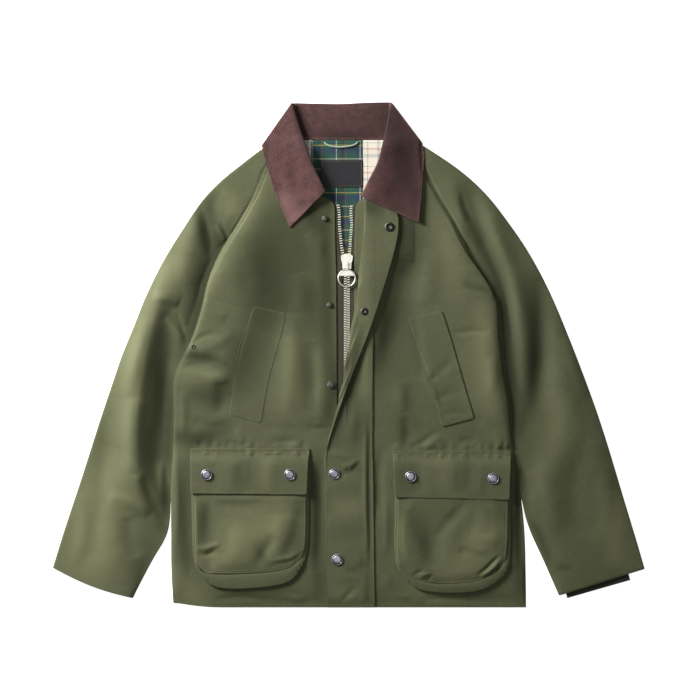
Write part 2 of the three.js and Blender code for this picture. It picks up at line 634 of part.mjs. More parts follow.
// The section halfway between two: the mean of each of their values.
function halfway(a, b) {
  const mean = (v, w) => (Array.isArray(v) ? v.map((n, i) => mix(n, w[i], 0.5)) : mix(v, w, 0.5));
  return Object.fromEntries(Object.keys(a).map((name) => [name, mean(a[name], b[name])]));
}

function collar() {
  const rows = [];
  collarSections.forEach((s, i) => {
    const before = collarSections[i - 1];
    if (before && before.turn === 0 && s.turn === 0) rows.push(collarSection(halfway(before, s)));
    rows.push(collarSection(s));
  });
  return sheet('collar', rows, collarCloth, colours.corduroy, 0.95);
}

// The lining lies on the back and shows in the neck opening.
const liningMiddle = -6; // X of its middle line
const liningEnd = 172; // Y of its lower end, under the slider
const liningWidths = [
  { y: liningEnd, half: 14 },
  { y: 241, half: 46 },
  { y: 300, half: 74 },
  { y: neckY, half: 78 },
];

function lining() {
  const heights = [liningEnd, 205, 241, 268, 300, liftStart, 323, liftEnd, neckY];
  const rows = heights.map((y) => {
    const half = column(liningWidths, 'y', 'half', y);
    const z = backMid + cloth + seamGap + neckLift(y);
    return range(6).map((t) => new THREE.Vector3(mix(liningMiddle - half, liningMiddle + half, t), y, z));
  });
  return sheet('lining', rows, cloth, colours.lining, 0.95);
}

function tube(name, points, radius, sides, steps, colour) {
  const circle = new THREE.Shape();
  circle.absarc(0, 0, radius, 0, 2 * Math.PI);
  const path = new THREE.CatmullRomCurve3(points);
  const geometry = new THREE.ExtrudeGeometry(circle, {
    extrudePath: path, steps, curveSegments: sides, bevelEnabled: false });
  return meshOf(name, geometry, colour, 0.9);
}

// The hanger loop lies on the lining. Columns of its line: x, y.
const loopLine = [[-39, 340], [-33, 335], [-20, 332], [-5, 332.5], [8, 335], [15, 340]];
const loopRadius = 1.3;

function hangerLoop() {
  const liningTop = backMid + cloth * 1.5 + seamGap + collarLift;
  const z = liningTop + seamGap + loopRadius + 0.1;
  const points = loopLine.map(([x, y]) => new THREE.Vector3(x, y, z));
  return tube('hanger_loop', points, loopRadius, 3, 12, colours.loop);
}

// The storm flap: a strip sewn at its right edge, turned back over itself towards the top.
function stormFlap() {
  const between = [-262, -198, -168, -138, -108, -66, -20, 39, 88, 121, 154, 176];
  const heights = [...hemRows, ...between, flapCornerStart, 226, flapTop];
  const shares = [0, 0.14, 0.28, 0.38, 0.46, 0.53, 0.6, 0.67, 0.74, 0.82, 0.9, 0.96, 1];
  const rows = heights.map((y) => {
    const get = (name) => column(flapRows, 'y', name, y);
    const [seam, roll, free, radius] = ['seam', 'roll', 'free', 'radius'].map(get);
    const lying = seam - roll - radius;
    const turned = Math.max(free - roll - radius, 0) + Math.PI * radius * smooth((free - roll) / 10);
    const total = lying + turned;
    return shares.map((share) => {
      const d = share * total;
      const angle = Math.max((d - lying) / radius, 0);
      let x = seam - Math.min(d, lying);
      let z = flapMid - hemDrop(y);
      if (angle > 0) {
        const bent = Math.min(angle, Math.PI);
        x = seam - lying - radius * Math.sin(bent) + (angle - bent) * radius;
        z += radius * (1 - Math.cos(bent));
      }
      const slant = flapSlant * smooth((y - flapSlantStart) / (flapTop - flapSlantStart));
      const cornerIn = Math.max(x - (free - flapCorner), 0) / flapCorner;
      const cornerDrop = angle > Math.PI ? flapCorner * (1 - Math.sqrt(Math.max(1 - cornerIn ** 2, 0))) : 0;
      const atTop = smooth((y - flapCornerStart) / (flapTop - flapCornerStart));
      return new THREE.Vector3(x, y - slant * Math.max(x - flapSlantFrom, 0) - atTop * cornerDrop, z);
    });
  });
  return sheet('storm_flap', rows, cloth, colours.cottonInside);
}

// Edge of the zip's metal chain nearest the other half, from the hem to the neck.
const chainEdge = [
  { y: -366, right: -0.2, left: 0.2 },
  { y: 126, right: -0.2, left: 0.2 },
  { y: 140, right: -0.6, left: 0.6 },
  { y: 163, right: -4.6, left: 2 },
  { y: 184, right: -7.5, left: 3.6 },
  { y: 207, right: -9.5, left: 5.4 },
  { y: 230, right: -10, left: 4 },
  { y: 242, right: -12.5, left: 5.4 },
];
const chainWidth = 4.6;
const chainMid = 4.5;
const chainThickness = 2.8;
const tapeWidth = 14;
const tapeWall = 0.8;
const tapeMid = frontMid - cloth / 2 - seamGap - tapeWall / 2;

function ribbon(name, side, from, to, z, wall, colour, rough, metal) {
  const heights = [-366, -200, 0, 120, 132, 140, 148, 156, 163, 173, 184, 195, 207, 218, 230, 242];
  const outward = side === 'right' ? -1 : 1;
  const rows = heights.map((y) => {
    const edge = zipX + column(chainEdge, 'y', side, y);
    return [from, to].map((d) => new THREE.Vector3(edge + outward * d, y, z));
  });
  const mesh = sheet(name, rows, wall, colour, rough);
  mesh.material.metalness = metal;
  return mesh;
}

function zipHalf(side) {
  const start = chainWidth + seamGap;
  return [
    ribbon(`zip_chain_${side}`, side, 0, chainWidth, chainMid, chainThickness, colours.zipMetal, 0.35, 0.9),
    ribbon(`zip_tape_${side}`, side, start, start + tapeWidth, tapeMid, tapeWall, colours.tape, 0.9, 0),
  ];
}

// Solids for joining and cutting
function solidOf(geometry) {
  const bare = geometry.clone();
  bare.deleteAttribute('normal');
  bare.deleteAttribute('uv');
  const merged = mergeVertices(bare, 1e-4);
  const vertProperties = Float32Array.from(merged.attributes.position.array);
  const triVerts = Uint32Array.from(merged.index.array);
  return new wasm.Manifold(new wasm.Mesh({ numProp: 3, vertProperties, triVerts }));
}

function geometryOf(solid) {
  const mesh = solid.getMesh();
  const geometry = new THREE.BufferGeometry();
  geometry.setAttribute('position', new THREE.BufferAttribute(mesh.vertProperties, 3));
  geometry.setIndex(new THREE.BufferAttribute(mesh.triVerts, 1));
  return geometry;
}

function block(width, length, height, x, y, z) {
  const geometry = new THREE.BoxGeometry(width, length, height);
  geometry.translate(x, y, z);
  return solidOf(geometry);
}

// The slider lies round both chains; the pull hangs from its bridge.
const sliderY = 149; // middle of the slider
const sliderLength = 24;
const sliderWidth = 19;
const plateThickness = 1.2;
const pivotY = 144.5;
const pivotZ = 9.1;
const barRadius = 1.1;
const bridgeWidth = 3;
const bridgeReach = 4.5;
const bridgeWall = 1.6; // the beam over the pull's bar
const legLength = 2;
const barRoom = 2.2; // from the bar to the top of the beam
const fused = 0.4; // how deep the bridge's legs reach into the plate
const post = { width: 2.4, length: 4, inset: 3, shift: -0.9 }; // between the plates at the nose

// The slider's outline, as shares of half its width and of its length from its middle
const sliderTail = { half: 0.72, along: -0.5 };
const sliderWaist = { half: 0.78, along: -0.1 };
const sliderSide = { half: 1.02, along: 0.15 };
const sliderShoulder = { half: 1, along: 0.36 };
const sliderBrow = { half: 0.5, along: 0.54 };
const sliderNose = { half: 0, along: 0.5 };

function sliderPlate(z) {
  const at = (place, way) => [way * place.half * sliderWidth / 2, place.along * sliderLength];
  const shape = new THREE.Shape();
  shape.moveTo(...at(sliderTail, -1));
  shape.lineTo(...at(sliderTail, 1));
  shape.lineTo(...at(sliderWaist, 1));
  shape.quadraticCurveTo(...at(sliderSide, 1), ...at(sliderShoulder, 1));
  shape.quadraticCurveTo(...at(sliderBrow, 1), ...at(sliderNose, 1));
  shape.quadraticCurveTo(...at(sliderBrow, -1), ...at(sliderShoulder, -1));
  shape.quadraticCurveTo(...at(sliderSide, -1), ...at(sliderWaist, -1));
  const geometry = new THREE.ExtrudeGeometry(shape, {
    depth: plateThickness, bevelEnabled: false, curveSegments: 5 });
  geometry.translate(zipX, sliderY, z);
  return solidOf(geometry);
}

function slider() {
  const chainBottom = chainMid - chainThickness / 2 - seamGap;
  const chainTop = chainMid + chainThickness / 2 + seamGap;
  const bottomPlate = sliderPlate(chainBottom - plateThickness);
  const topPlate = sliderPlate(chainTop);
  const postY = sliderY + sliderLength / 2 - post.inset;
  const postHeight = chainTop - chainBottom + 1;
  const nose = block(post.width, post.length, postHeight, zipX + post.shift, postY, chainMid);
  const plateTop = chainTop + plateThickness;
  const bridgeTop = pivotZ + barRadius + barRoom;
  const legHeight = bridgeTop - plateTop + fused;
  const legZ = plateTop - fused + legHeight / 2;
  const beamLength = 2 * bridgeReach + legLength;
  const beam = block(bridgeWidth, beamLength, bridgeWall, zipX, pivotY, bridgeTop - bridgeWall / 2);
  let solid = bottomPlate.add(topPlate).add(nose).add(beam);
  for (const way of [-1, 1]) {
    solid = solid.add(block(bridgeWidth, legLength, legHeight, zipX, pivotY + way * bridgeReach, legZ));
  }
  return meshOf('zip_slider', geometryOf(solid), colours.zipMetal, 0.3, 0.95);
}

// The pull is drawn about its pivot, a bar under the slider's bridge, and lies towards the hem.
const ringRadius = 13.6; // to the middle of the wire
const wireRadius = 1.35;
const ringY = -22.5; // the ring's middle, from the pivot
const filledFrom = 0.09 * Math.PI; // the ring is filled above a chord that ends at this angle
const pullWall = 1.8;
const neckHalf = 4.2;
const neckTaper = 0.9; // its width at the ring, as a share of that at the bar
const neckFused = 1; // how deep the neck reaches into the ring
const windowHalf = 2.6;
const windowEnd = bridgeReach + 3.2; // clear of the bridge's legs at every angle

function pull() {
  const ring = new THREE.TorusGeometry(ringRadius, wireRadius, 6, 28);
  ring.translate(0, ringY, 0);
  const filled = new THREE.Shape();
  filled.absarc(0, ringY, ringRadius, filledFrom, Math.PI - filledFrom);
  const filledPlate = new THREE.ExtrudeGeometry(filled, {
    depth: pullWall, bevelEnabled: false, curveSegments: 14 });
  filledPlate.translate(0, 0, -pullWall / 2);
  const bar = new THREE.CylinderGeometry(barRadius, barRadius, 2 * neckHalf, 16);
  bar.rotateZ(Math.PI / 2);
  const neckEnd = ringY + ringRadius - neckFused;
  const neck = new THREE.Shape();
  neck.moveTo(-neckHalf, 0);
  neck.lineTo(neckHalf, 0);
  neck.lineTo(neckHalf * neckTaper, neckEnd);
  neck.lineTo(-neckHalf * neckTaper, neckEnd);
  const hole = new THREE.Path();
  hole.moveTo(-windowHalf, -barRadius / 2);
  hole.lineTo(-windowHalf, -windowEnd);
  hole.lineTo(windowHalf, -windowEnd);
  hole.lineTo(windowHalf, -barRadius / 2);
  neck.holes.push(hole);
  const neckPlate = new THREE.ExtrudeGeometry(neck, { depth: pullWall, bevelEnabled: false });
  neckPlate.translate(0, 0, -pullWall / 2);
  const solid = solidOf(ring).add(solidOf(filledPlate)).add(solidOf(bar)).add(solidOf(neckPlate));
  const mesh = meshOf('zip_pull', geometryOf(solid), colours.zipMetal, 0.3, 0.95);
  mesh.position.set(zipX, pivotY, pivotZ);
  return mesh;
}

function pocketGusset(side) {
  const sections = pocketSections[side].map((s, index) => ({ index, ...s }));
  const steps = 2;
  const top = pocketFaceBottom - seamGap - cloth / 2;
  const rows = [];
  for (let k = 0; k <= (sections.length - 1) * steps; k += 1) {
    const get = (name) => column(sections, 'index', name, k / steps);
    const face = new THREE.Vector3(get('faceX'), get('faceY'), top);
    const base = new THREE.Vector3(get('baseX'), get('baseY'), gussetMid);
    rows.push([0, 0.35, 0.7, 1].map((t) => {
      const p = face.clone().lerp(base, t);
      p.z = mix(base.z, face.z, Math.cos(t * Math.PI / 2));
      return p;
    }));
  }
  return sheet(`pocket_gusset_${side}`, rows, cloth, colours.cotton);
}

function pocketFace(side) {
  const sections = pocketSections[side].map((s, index) => ({ index, ...s }));
  const corners = range((sections.length - 1) * 2).map((t) => {
    const at = t * (sections.length - 1);
    return [column(sections, 'index', 'faceX', at), column(sections, 'index', 'faceY', at)];
  });
  return plate(`pocket_face_${side}`, corners, pocketFaceBottom, cloth, colours.cotton);
}

function pocketFlap(side) {
  const rows = pocketFlapRows[side].map((s) => range(4).map((t) => new THREE.Vector3(
    mix(s.start, s.end, t), mix(s.startY, s.endY, t), frontTop + seamGap + flapCloth / 2 + s.lift)));
  return sheet(`pocket_flap_${side}`, rows, flapCloth, colours.cotton);
}

function welt(side) {
  return plate(`welt_${side}`, weltCorners[side], frontTop + seamGap, cloth, colours.cotton);
}

// A round press-stud part: a low dome on a short straight rim.
function snap(s) {
  const bases = {
    pocketFlap: pocketFlapTop,
    stormFlap: flapMid + cloth / 2,
    front: frontTop,
    turnedFlap: flapMid + cloth / 2 + 2 * column(flapRows, 'y', 'radius', s.y),
  };
  const rimHeight = s.height * snapRim;
  const profile = [new THREE.Vector2(0, 0), new THREE.Vector2(s.radius * snapFoot, 0)];
  for (const t of range(3)) {
    const angle = t * Math.PI / 2;
    profile.push(new THREE.Vector2(s.radius * Math.cos(angle),
      rimHeight + (s.height - rimHeight) * Math.sin(angle)));
  }
  profile[profile.length - 1].x = 0;
  const geometry = new THREE.LatheGeometry(profile, snapSides);
  geometry.rotateX(Math.PI / 2);
  geometry.translate(s.x, s.y, bases[s.base] + seamGap);
  return meshOf(s.name, geometry, colours.snapMetal, 0.35, 0.9);
}

function eyelet() {
  const { x, y, radius, wire } = eyeletPlace;
  const geometry = new THREE.TorusGeometry(radius, wire, 5, 12);
  geometry.translate(x, y, frontTop + seamGap + wire);
  return meshOf('eyelet_right', geometry, colours.snapMetal, 0.4, 0.9);
}

function neckLabel() {
  const liningTop = backMid + cloth * 1.5 + seamGap;
  return plate('neck_label', labelCorners, liningTop + seamGap, labelThickness, colours.label);
}

const jacket = new THREE.Group();
jacket.add(back(), lining());
jacket.add(neckLabel(), hangerLoop(), collar(), stormFlap(), stormCuff());
for (const side of ['right', 'left']) {
  jacket.add(front(side), sleeve(side), welt(side), ...zipHalf(side));
  jacket.add(pocketGusset(side), pocketFace(side), pocketFlap(side));
}
jacket.add(slider(), pull(), eyelet());
for (const s of snaps) jacket.add(snap(s));

export default jacket;
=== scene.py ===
"""A waxed cotton jacket laid flat on its back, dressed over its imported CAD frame.

Metres, +Z up, the surface it lies on is z = 0. Tables are in millimetres. Right and left are the wearer's.
"""
import math

import bmesh
import bpy
import numpy as np
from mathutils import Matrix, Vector, kdtree, noise
from mathutils.bvhtree import BVHTree


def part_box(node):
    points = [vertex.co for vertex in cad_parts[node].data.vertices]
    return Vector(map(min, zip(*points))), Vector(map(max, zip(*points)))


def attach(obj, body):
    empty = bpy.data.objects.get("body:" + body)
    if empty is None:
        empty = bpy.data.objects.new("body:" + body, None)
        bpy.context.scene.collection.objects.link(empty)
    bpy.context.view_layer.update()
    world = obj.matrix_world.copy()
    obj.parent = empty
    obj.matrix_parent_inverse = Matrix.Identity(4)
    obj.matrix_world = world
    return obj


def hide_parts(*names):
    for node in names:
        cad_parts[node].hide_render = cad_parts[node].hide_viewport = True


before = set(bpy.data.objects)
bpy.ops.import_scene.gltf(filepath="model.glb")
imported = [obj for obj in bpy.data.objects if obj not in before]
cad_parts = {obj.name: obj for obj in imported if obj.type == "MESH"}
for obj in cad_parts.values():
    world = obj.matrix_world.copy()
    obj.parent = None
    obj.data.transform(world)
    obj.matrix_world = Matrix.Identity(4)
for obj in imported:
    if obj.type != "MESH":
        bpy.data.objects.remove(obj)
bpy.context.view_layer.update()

MM = 0.001
FRAME_WIDTH = 1.12  # what the photograph's width takes in, in metres
LENS = 150
SENSOR = 36
CLOTH_LEVEL = 0.006  # mean height of the upper layers
CAMERA_PLACE = (0.0021, 0.0072)  # X and Y of the photograph's middle

scene = bpy.context.scene


def place_camera():
    data = bpy.data.cameras.new("camera")
    data.lens = LENS
    data.sensor_width = SENSOR
    data.clip_end = 100
    camera = bpy.data.objects.new("camera", data)
    scene.collection.objects.link(camera)
    camera.location = (*CAMERA_PLACE, FRAME_WIDTH * LENS / SENSOR + CLOTH_LEVEL)
    scene.camera = camera


place_camera()

# Lines and folds

DEPTH = 1.8  # the wide folds of the fronts and sleeves are this much deeper than their tables say

# A row is a soft ridge of the cloth, or a trough where its height is negative. Its columns are the
# height, the widths to the left and to the right looking along it, and then x, y of the points that
# it runs through. It dies away at both ends.
FOLDS_RIGHT_FRONT = [
    (2.8, 70, 18, -140,290, -150,240, -180,190, -204,140, -220,90),
    (-2.0, 30, 34, -98,236, -110,160, -114,60),
    (2.4, 18, 20, -92,66, -94,-20, -102,-116),
    (-1.8, 11, 14, -60,20, -56,-40, -58,-98),
    (-2.0, 3, 5, -66,-115, -42,-118, -20,-115),
    (2.0, 8, 14, -272,-30, -235,-33, -192,-40),
    (-1.6, 10, 9, -266,-4, -235,-10, -200,-8),
    (-2.0, 14, 12, -206,-44, -202,-70, -208,-98),
    (0.8, 12, 10, -66,194, -52,178, -36,162),
    (-1.4, 5, 4, -254,14, -236,28, -212,34),
    (-1.0, 4, 5, -268,-20, -246,-16, -222,-20),
    (-1.6, 5, 4, -126,-141, -104,-138, -78,-141),
    (1.6, 6, 7, -277,-160, -274,-230, -276,-310),
    (-2.2, 11, 9, -50,-170, -46,-250, -50,-350),
    (-0.5, 12, 12, -178,150, -164,120, -168,84),
    (1.2, 10, 12, -240,92, -226,70, -196,58),
    (1.2, 9, 9, -186,34, -206,20, -240,8),
    (1.2, 16, 14, -80,130, -74,100, -80,66),
    (-1.3, 6, 8, -248,-104, -225,-116, -196,-114),
    (1.1, 6, 6, -180,-120, -172,-132, -166,-146),
    (1.3, 8, 10, -266,-60, -264,-96, -266,-130),
    (-1.2, 6, 7, -216,-392, -170,-388, -120,-393),
    (1.0, 6, 7, -110,-384, -88,-392, -64,-388),
]

FOLDS_LEFT_FRONT = [
    (-2.6, 30, 20, 98,160, 86,96, 72,30, 60,-40),
    (1.8, 34, 30, 178,140, 194,60, 208,-30, 222,-120),
    (1.8, 14, 20, 184,206, 210,146, 226,86, 231,8, 238,-60, 250,-130, 262,-260),
    (-1.8, 7, 3, 182,112, 210,104, 234,99),
    (1.0, 3, 6, 184,104, 210,96, 232,92),
    (-1.5, 6, 4, 168,34, 196,37, 226,35),
    (2.0, 8, 8, 162,244, 170,216, 182,190),
    (-1.8, 5, 4, 128,-46, 146,-28, 168,-8),
    (-1.3, 4, 4, 138,-72, 160,-62, 184,-60),
    (-1.1, 4, 4, 146,-98, 170,-92, 196,-96),
    (1.2, 5, 4, 118,-30, 132,-52, 142,-80),
    (-2.2, 9, 9, 92,-98, 94,-122, 92,-150),
    (-1.6, 4, 4, 98,-152, 118,-140, 142,-122),
    (1.2, 4, 5, 106,-156, 126,-146, 150,-130),
    (-1.5, 7, 5, 176,-140, 188,-138, 204,-141),
    (1.6, 5, 5, 58,-226, 61,-270, 60,-320),
    (-1.6, 6, 7, 52,-150, 49,-200, 52,-250),
    (-1.6, 6, 7, 272,-170, 273,-250, 276,-350),
    (-1.2, 16, 10, 66,120, 62,60, 56,0),
    (-1.2, 8, 8, 104,60, 112,10, 122,-40),
    (1.5, 10, 12, 86,-40, 84,-70, 88,-92),
    (1.0, 8, 8, 226,-6, 232,-30, 228,-60),
    (1.4, 8, 9, 210,-112, 232,-126, 250,-150),
    (1.5, 9, 9, 60,-352, 74,-370, 98,-388),
    (-1.1, 5, 6, 112,-392, 160,-390, 214,-394),
    (1.2, 18, 18, 138,168, 126,120, 128,80),
]

FOLDS_RIGHT_SLEEVE = [
    (1.4, 34, 30, -236,232, -262,170, -290,110, -308,60),
    (3.6, 16, 50, -302,100, -315,50, -325,0, -338,-80, -340,-180, -330,-258),
    (-1.2, 14, 14, -288,80, -286,0, -294,-90, -306,-190),
    (1.5, 14, 5, -312,92, -292,88, -272,80),
    (2.6, 4, 7, -291,60, -276,40, -256,12),
    (-1.8, 5, 4, -276,66, -266,44, -252,22),
    (-2.6, 7, 11, -240,246, -228,206, -217,156),
    (1.8, 3, 4, -212,208, -203,192, -194,176),
    (-1.6, 3, 3, -206,212, -198,198, -190,184),
    (-2.8, 7, 9, -330,-196, -312,-236, -286,-270),
    (2.2, 7, 9, -300,-172, -294,-208, -286,-246),
    (-1.9, 13, 15, -354,-262, -350,-292, -338,-324),
    (1.5, 9, 13, -384,-226, -350,-236, -318,-254),
    (-1.2, 15, 15, -382,-90, -394,-200, -402,-330),
    (1.8, 12, 12, -322,60, -338,0, -352,-70),
    (2.2, 14, 12, -344,-70, -348,-130, -344,-190),
    (1.1, 12, 12, -430,-222, -424,-280, -440,-340),
]

FOLDS_LEFT_SLEEVE = [
    (-2.2, 12, 20, 196,262, 214,196, 238,140, 254,60, 264,-30, 276,-130),
    (0.7, 13, 14, 250,176, 264,110, 272,40, 276,-50),
    (-1.6, 18, 16, 306,124, 311,50, 309,-20, 298,-80, 278,-134),
    (0.8, 22, 20, 334,-10, 348,-70, 350,-130),
    (-1.5, 16, 20, 384,-124, 366,-176, 360,-214, 370,-292),
    (0.9, 14, 15, 414,-170, 412,-236, 404,-306),
    (1.0, 10, 11, 222,220, 240,180, 252,140),
    (-1.6, 6, 7, 212,186, 220,160, 232,132),
    (-1.3, 3, 4, 331,-338, 344,-341, 360,-340),
    (1.2, 16, 16, 300,-180, 322,-230, 330,-290),
    (-1.8, 5, 6, 180,262, 186,236, 198,210),
    (1.2, 14, 10, 346,30, 362,-20, 380,-70),
    (-1.0, 4, 5, 300,-250, 316,-290, 336,-336),
]

# The ridge where the storm flap is sewn on
FLAP_RIDGE = [
    (1.3, 3.5, 3.5, 28,-110, 27,-200, 30,-335),
    (-0.9, 3, 3, 34.5,-120, 34,-210, 36,-330),
]

FOLDS_STORM_FLAP = [
    (1.3, 5, 5, -36,-158, -14,-160, 12,-166),
    (-2.6, 2.5, 6, -14,-188, 2,-184, 18,-172),
    (1.6, 4, 2.5, -12,-184, 4,-179, 18,-168),
    (0.9, 7, 8, -34,-206, -10,-204, 16,-210),
    (-1.2, 11, 11, -36,-236, -8,-234, 22,-238),
    (1.2, 13, 13, -34,-268, -6,-272, 24,-268),
    (-1.2, 6, 8, -34,-298, -4,-296, 28,-290),
    (-2.2, 2.5, 5, -10,-343, 12,-340, 34,-333),
    (1.2, 3, 2.5, -8,-338, 14,-335, 34,-329),
    (0.9, 7, 8, -34,-352, -6,-356, 24,-350),
    *FLAP_RIDGE,
    (-1.0, 5, 5, 12,-372, 0,-384, -12,-398),
    (1.6, 12, 12, 20,-60, 10,-100, 4,-140),
    (-0.9, 8, 8, 26,20, 20,-30, 12,-70),
]

FOLDS_RIGHT_POCKET = [
    (-2.8, 12, 10, -224,-226, -229,-270, -233,-312),
    (1.4, 5, 4, -243,-226, -244,-268, -243,-306),
    (2.4, 4, 4, -252,-309, -230,-310, -206,-303),
    (-1.8, 4, 5, -250,-318, -230,-320, -210,-313),
    (-1.1, 3.5, 4, -70,-316, -92,-331, -124,-336),
    (1.0, 4, 4, -68,-310, -92,-324, -128,-330),
    (-2.4, 9, 10, -226,-316, -222,-334, -224,-350),
    (2.4, 22, 20, -160,-250, -172,-296, -192,-346),
    (-2.4, 9, 10, -118,-290, -132,-314, -148,-342),
    (-2.4, 11, 10, -76,-250, -86,-292, -102,-328),
    (1.7, 14, 13, -108,-256, -110,-290, -118,-326),
    (-1.4, 7, 10, -214,-236, -176,-241, -132,-236),
    (1.0, 10, 10, -200,-262, -204,-290, -202,-316),
]

FOLDS_LEFT_POCKET = [
    (-3.0, 14, 13, 98,-246, 114,-280, 130,-312, 128,-342),
    (-2.0, 10, 9, 190,-234, 166,-262, 138,-294),
    (2.0, 18, 18, 168,-262, 162,-300, 154,-350),
    (-2.0, 6, 7, 176,-312, 206,-320, 236,-338),
    (1.5, 12, 10, 196,-286, 222,-296, 248,-296),
    (1.4, 7, 8, 88,-262, 86,-300, 92,-338),
    (-2.6, 2.6, 2.6, 206,-353, 222,-340, 240,-322),
    (2.4, 2.4, 2.4, 211,-358, 229,-343, 247,-324),
    (-2.6, 2.4, 2.4, 217,-360, 235,-346, 252,-330),
    (2.2, 2.4, 2.4, 224,-360, 240,-350, 254,-336),
    (-2.0, 2.2, 2.2, 231,-360, 243,-353, 254,-343),
    (-1.6, 2.4, 2.4, 100,-360, 108,-350, 120,-344),
    (1.4, 2.4, 2.4, 110,-364, 118,-354, 130,-348),
    (-1.4, 2.4, 2.4, 122,-368, 128,-358, 136,-352),
    (1.2, 12, 12, 220,-238, 214,-262, 218,-284),
]

FOLDS_POCKET_FLAPS = [
    (-1.3, 12, 11, -163,-158, -165,-190, -162,-222),
    (1.0, 12, 12, -190,-160, -188,-190, -190,-222),
    (1.1, 14, 13, -124,-160, -128,-190, -126,-222),
    (-1.0, 9, 8, -214,-172, -216,-196, -212,-222),
    (-1.4, 9, 11, 184,-164, 186,-190, 180,-226),
    (1.1, 15, 14, 140,-162, 136,-192, 142,-226),
    (-1.1, 10, 9, 112,-170, 108,-196, 112,-224),
    (0.9, 9, 9, 212,-170, 212,-196, 206,-226),
]

FOLDS_COLLAR = [
    (0.9, 10, 10, -70,222, -92,262, -112,310),
    (-0.7, 6, 6, -92,214, -110,252, -124,290),
    (-0.6, 8, 8, -58,262, -74,300, -96,345),
    (-0.8, 8, 8, 60,262, 82,250, 102,232),
    (0.9, 9, 9, 70,290, 90,272, 112,256),
    (-0.7, 9, 9, 76,330, 92,318, 112,312),
    (0.6, 10, 10, -30,372, 0,366, 34,372),
]

FOLDS_BACK = [
    (0.8, 22, 26, -210,120, -120,60, -40,40),
    (0.8, 24, 20, 190,150, 120,70, 60,30),
    (0.7, 20, 24, -150,-60, -60,-100, 40,-96),
    (0.7, 18, 22, 200,-120, 130,-160, 40,-170),
    (0.7, 20, 20, -220,-240, -150,-260, -90,-300),
    (0.6, 18, 18, 90,-270, 160,-300, 230,-290),
]

# Painted shade where the cloth lies in shade, and painted light (negative) where it catches the light.
# The lines and widths are as for folds, and the height is a share of the darkest or the palest colour.
PAINTED_SHADING_RIGHT_FRONT = [
    (0.85, 44, 42, -88,280, -84,200, -88,120, -104,30),
    (0.85, 38, 34, -150,200, -140,110, -150,30, -180,-70),
    (0.6, 16, 14, -70,262, -58,222, -44,190),
    (0.3, 22, 26, -60,120, -52,60, -44,0),
    (0.5, 9, 14, -34,250, -31,100, -26,-70),
    (0.5, 24, 22, -172,40, -184,-30, -196,-115),
    (1.0, 14, 16, 14,70, -4,0, -20,-60, -42,-135),
    (0.9, 8, 11, -284,0, -240,-2, -192,-16),
    (0.8, 16, 16, -270,-60, -220,-66, -184,-60),
    (1.0, 14, 14, -290,-130, -240,-134, -186,-110),
    (0.6, 7, 7, -262,30, -275,-40, -278,-160),
    (0.85, 12, 10, -262,-160, -264,-260, -262,-385),
    (0.95, 14, 10, -52,-140, -50,-260, -50,-404),
    (0.4, 12, 12, -210,-390, -150,-390, -50,-386),
    (-0.4, 12, 14, -140,304, -146,250, -168,212, -200,165),
    (-0.35, 12, 12, -196,185, -212,130, -226,80),
    (-0.5, 10, 9, -278,-42, -235,-40, -192,-24),
    (-0.6, 16, 16, -92,70, -90,-20, -92,-120),
    (-0.6, 16, 16, -274,-330, -255,-380, -220,-402),
]

PAINTED_SHADING_LEFT_FRONT = [
    (0.95, 24, 14, 92,245, 90,190, 84,120),
    (0.85, 26, 12, 94,160, 72,70, 46,0, 14,-70),
    (0.4, 24, 24, 98,90, 88,0, 72,-90),
    (0.7, 4, 9, 102,222, 102,180, 101,140),
    (0.6, 8, 8, 148,296, 152,262, 162,228),
    (0.6, 13, 12, 108,-100, 98,-120, 90,-150),
    (0.9, 9, 9, 272,-150, 270,-260, 270,-400),
    (0.6, 5, 4, 186,109, 210,104, 240,97),
    (-0.3, 12, 12, 80,-372, 130,-386, 190,-390),
    (-0.6, 22, 22, 212,95, 216,0, 228,-110),
    (-0.4, 26, 26, 160,250, 162,170, 170,80),
]

PAINTED_SHADING_RIGHT_SLEEVE = [
    (0.95, 17, 13, -300,92, -298,40, -305,-60, -316,-170, -302,-264),
    (1.1, 10, 19, -186,226, -198,196, -212,160, -230,108, -241,70, -254,26, -268,-14),
    (0.8, 16, 16, -222,268, -232,235, -224,195, -212,160),
    (0.6, 12, 12, -284,-30, -288,-110, -290,-180),
    (0.7, 12, 12, -290,-205, -296,-245, -304,-285),
    (0.45, 20, 22, -352,-262, -336,-300, -334,-395),
    (-0.6, 18, 34, -250,226, -284,140, -322,60, -341,-10, -353,-90, -350,-200),
    (-0.4, 16, 16, -262,160, -280,120, -290,96),
    (-0.3, 6, 6, -276,76, -270,45, -261,12),
    (-0.35, 12, 14, -190,268, -184,232, -190,200),
    (-0.3, 8, 8, -298,-165, -296,-195, -292,-220),
    (-0.8, 44, 60, -366,-150, -396,-250, -420,-390),
]

PAINTED_SHADING_LEFT_SLEEVE = [
    (1.1, 13, 12, 188,296, 189,240, 205,196, 220,160, 242,108, 256,30, 262,-40, 272,-130, 282,-225),
    (0.95, 18, 16, 296,150, 299,60, 297,0, 286,-66, 266,-140),
    (0.35, 22, 22, 375,-130, 376,-200, 382,-290),
    (0.6, 4, 4, 328,-342, 346,-343, 364,-341),
    (0.6, 4, 5, 282,-256, 300,-278, 324,-336),
    (-0.45, 9, 9, 176,268, 180,230, 188,196),
    (-0.15, 12, 12, 212,248, 236,190, 260,140, 268,80, 266,20),
    (-0.4, 20, 20, 340,-50, 330,-120, 310,-190, 298,-236),
    (-0.6, 20, 18, 424,-215, 424,-290, 424,-345),
]

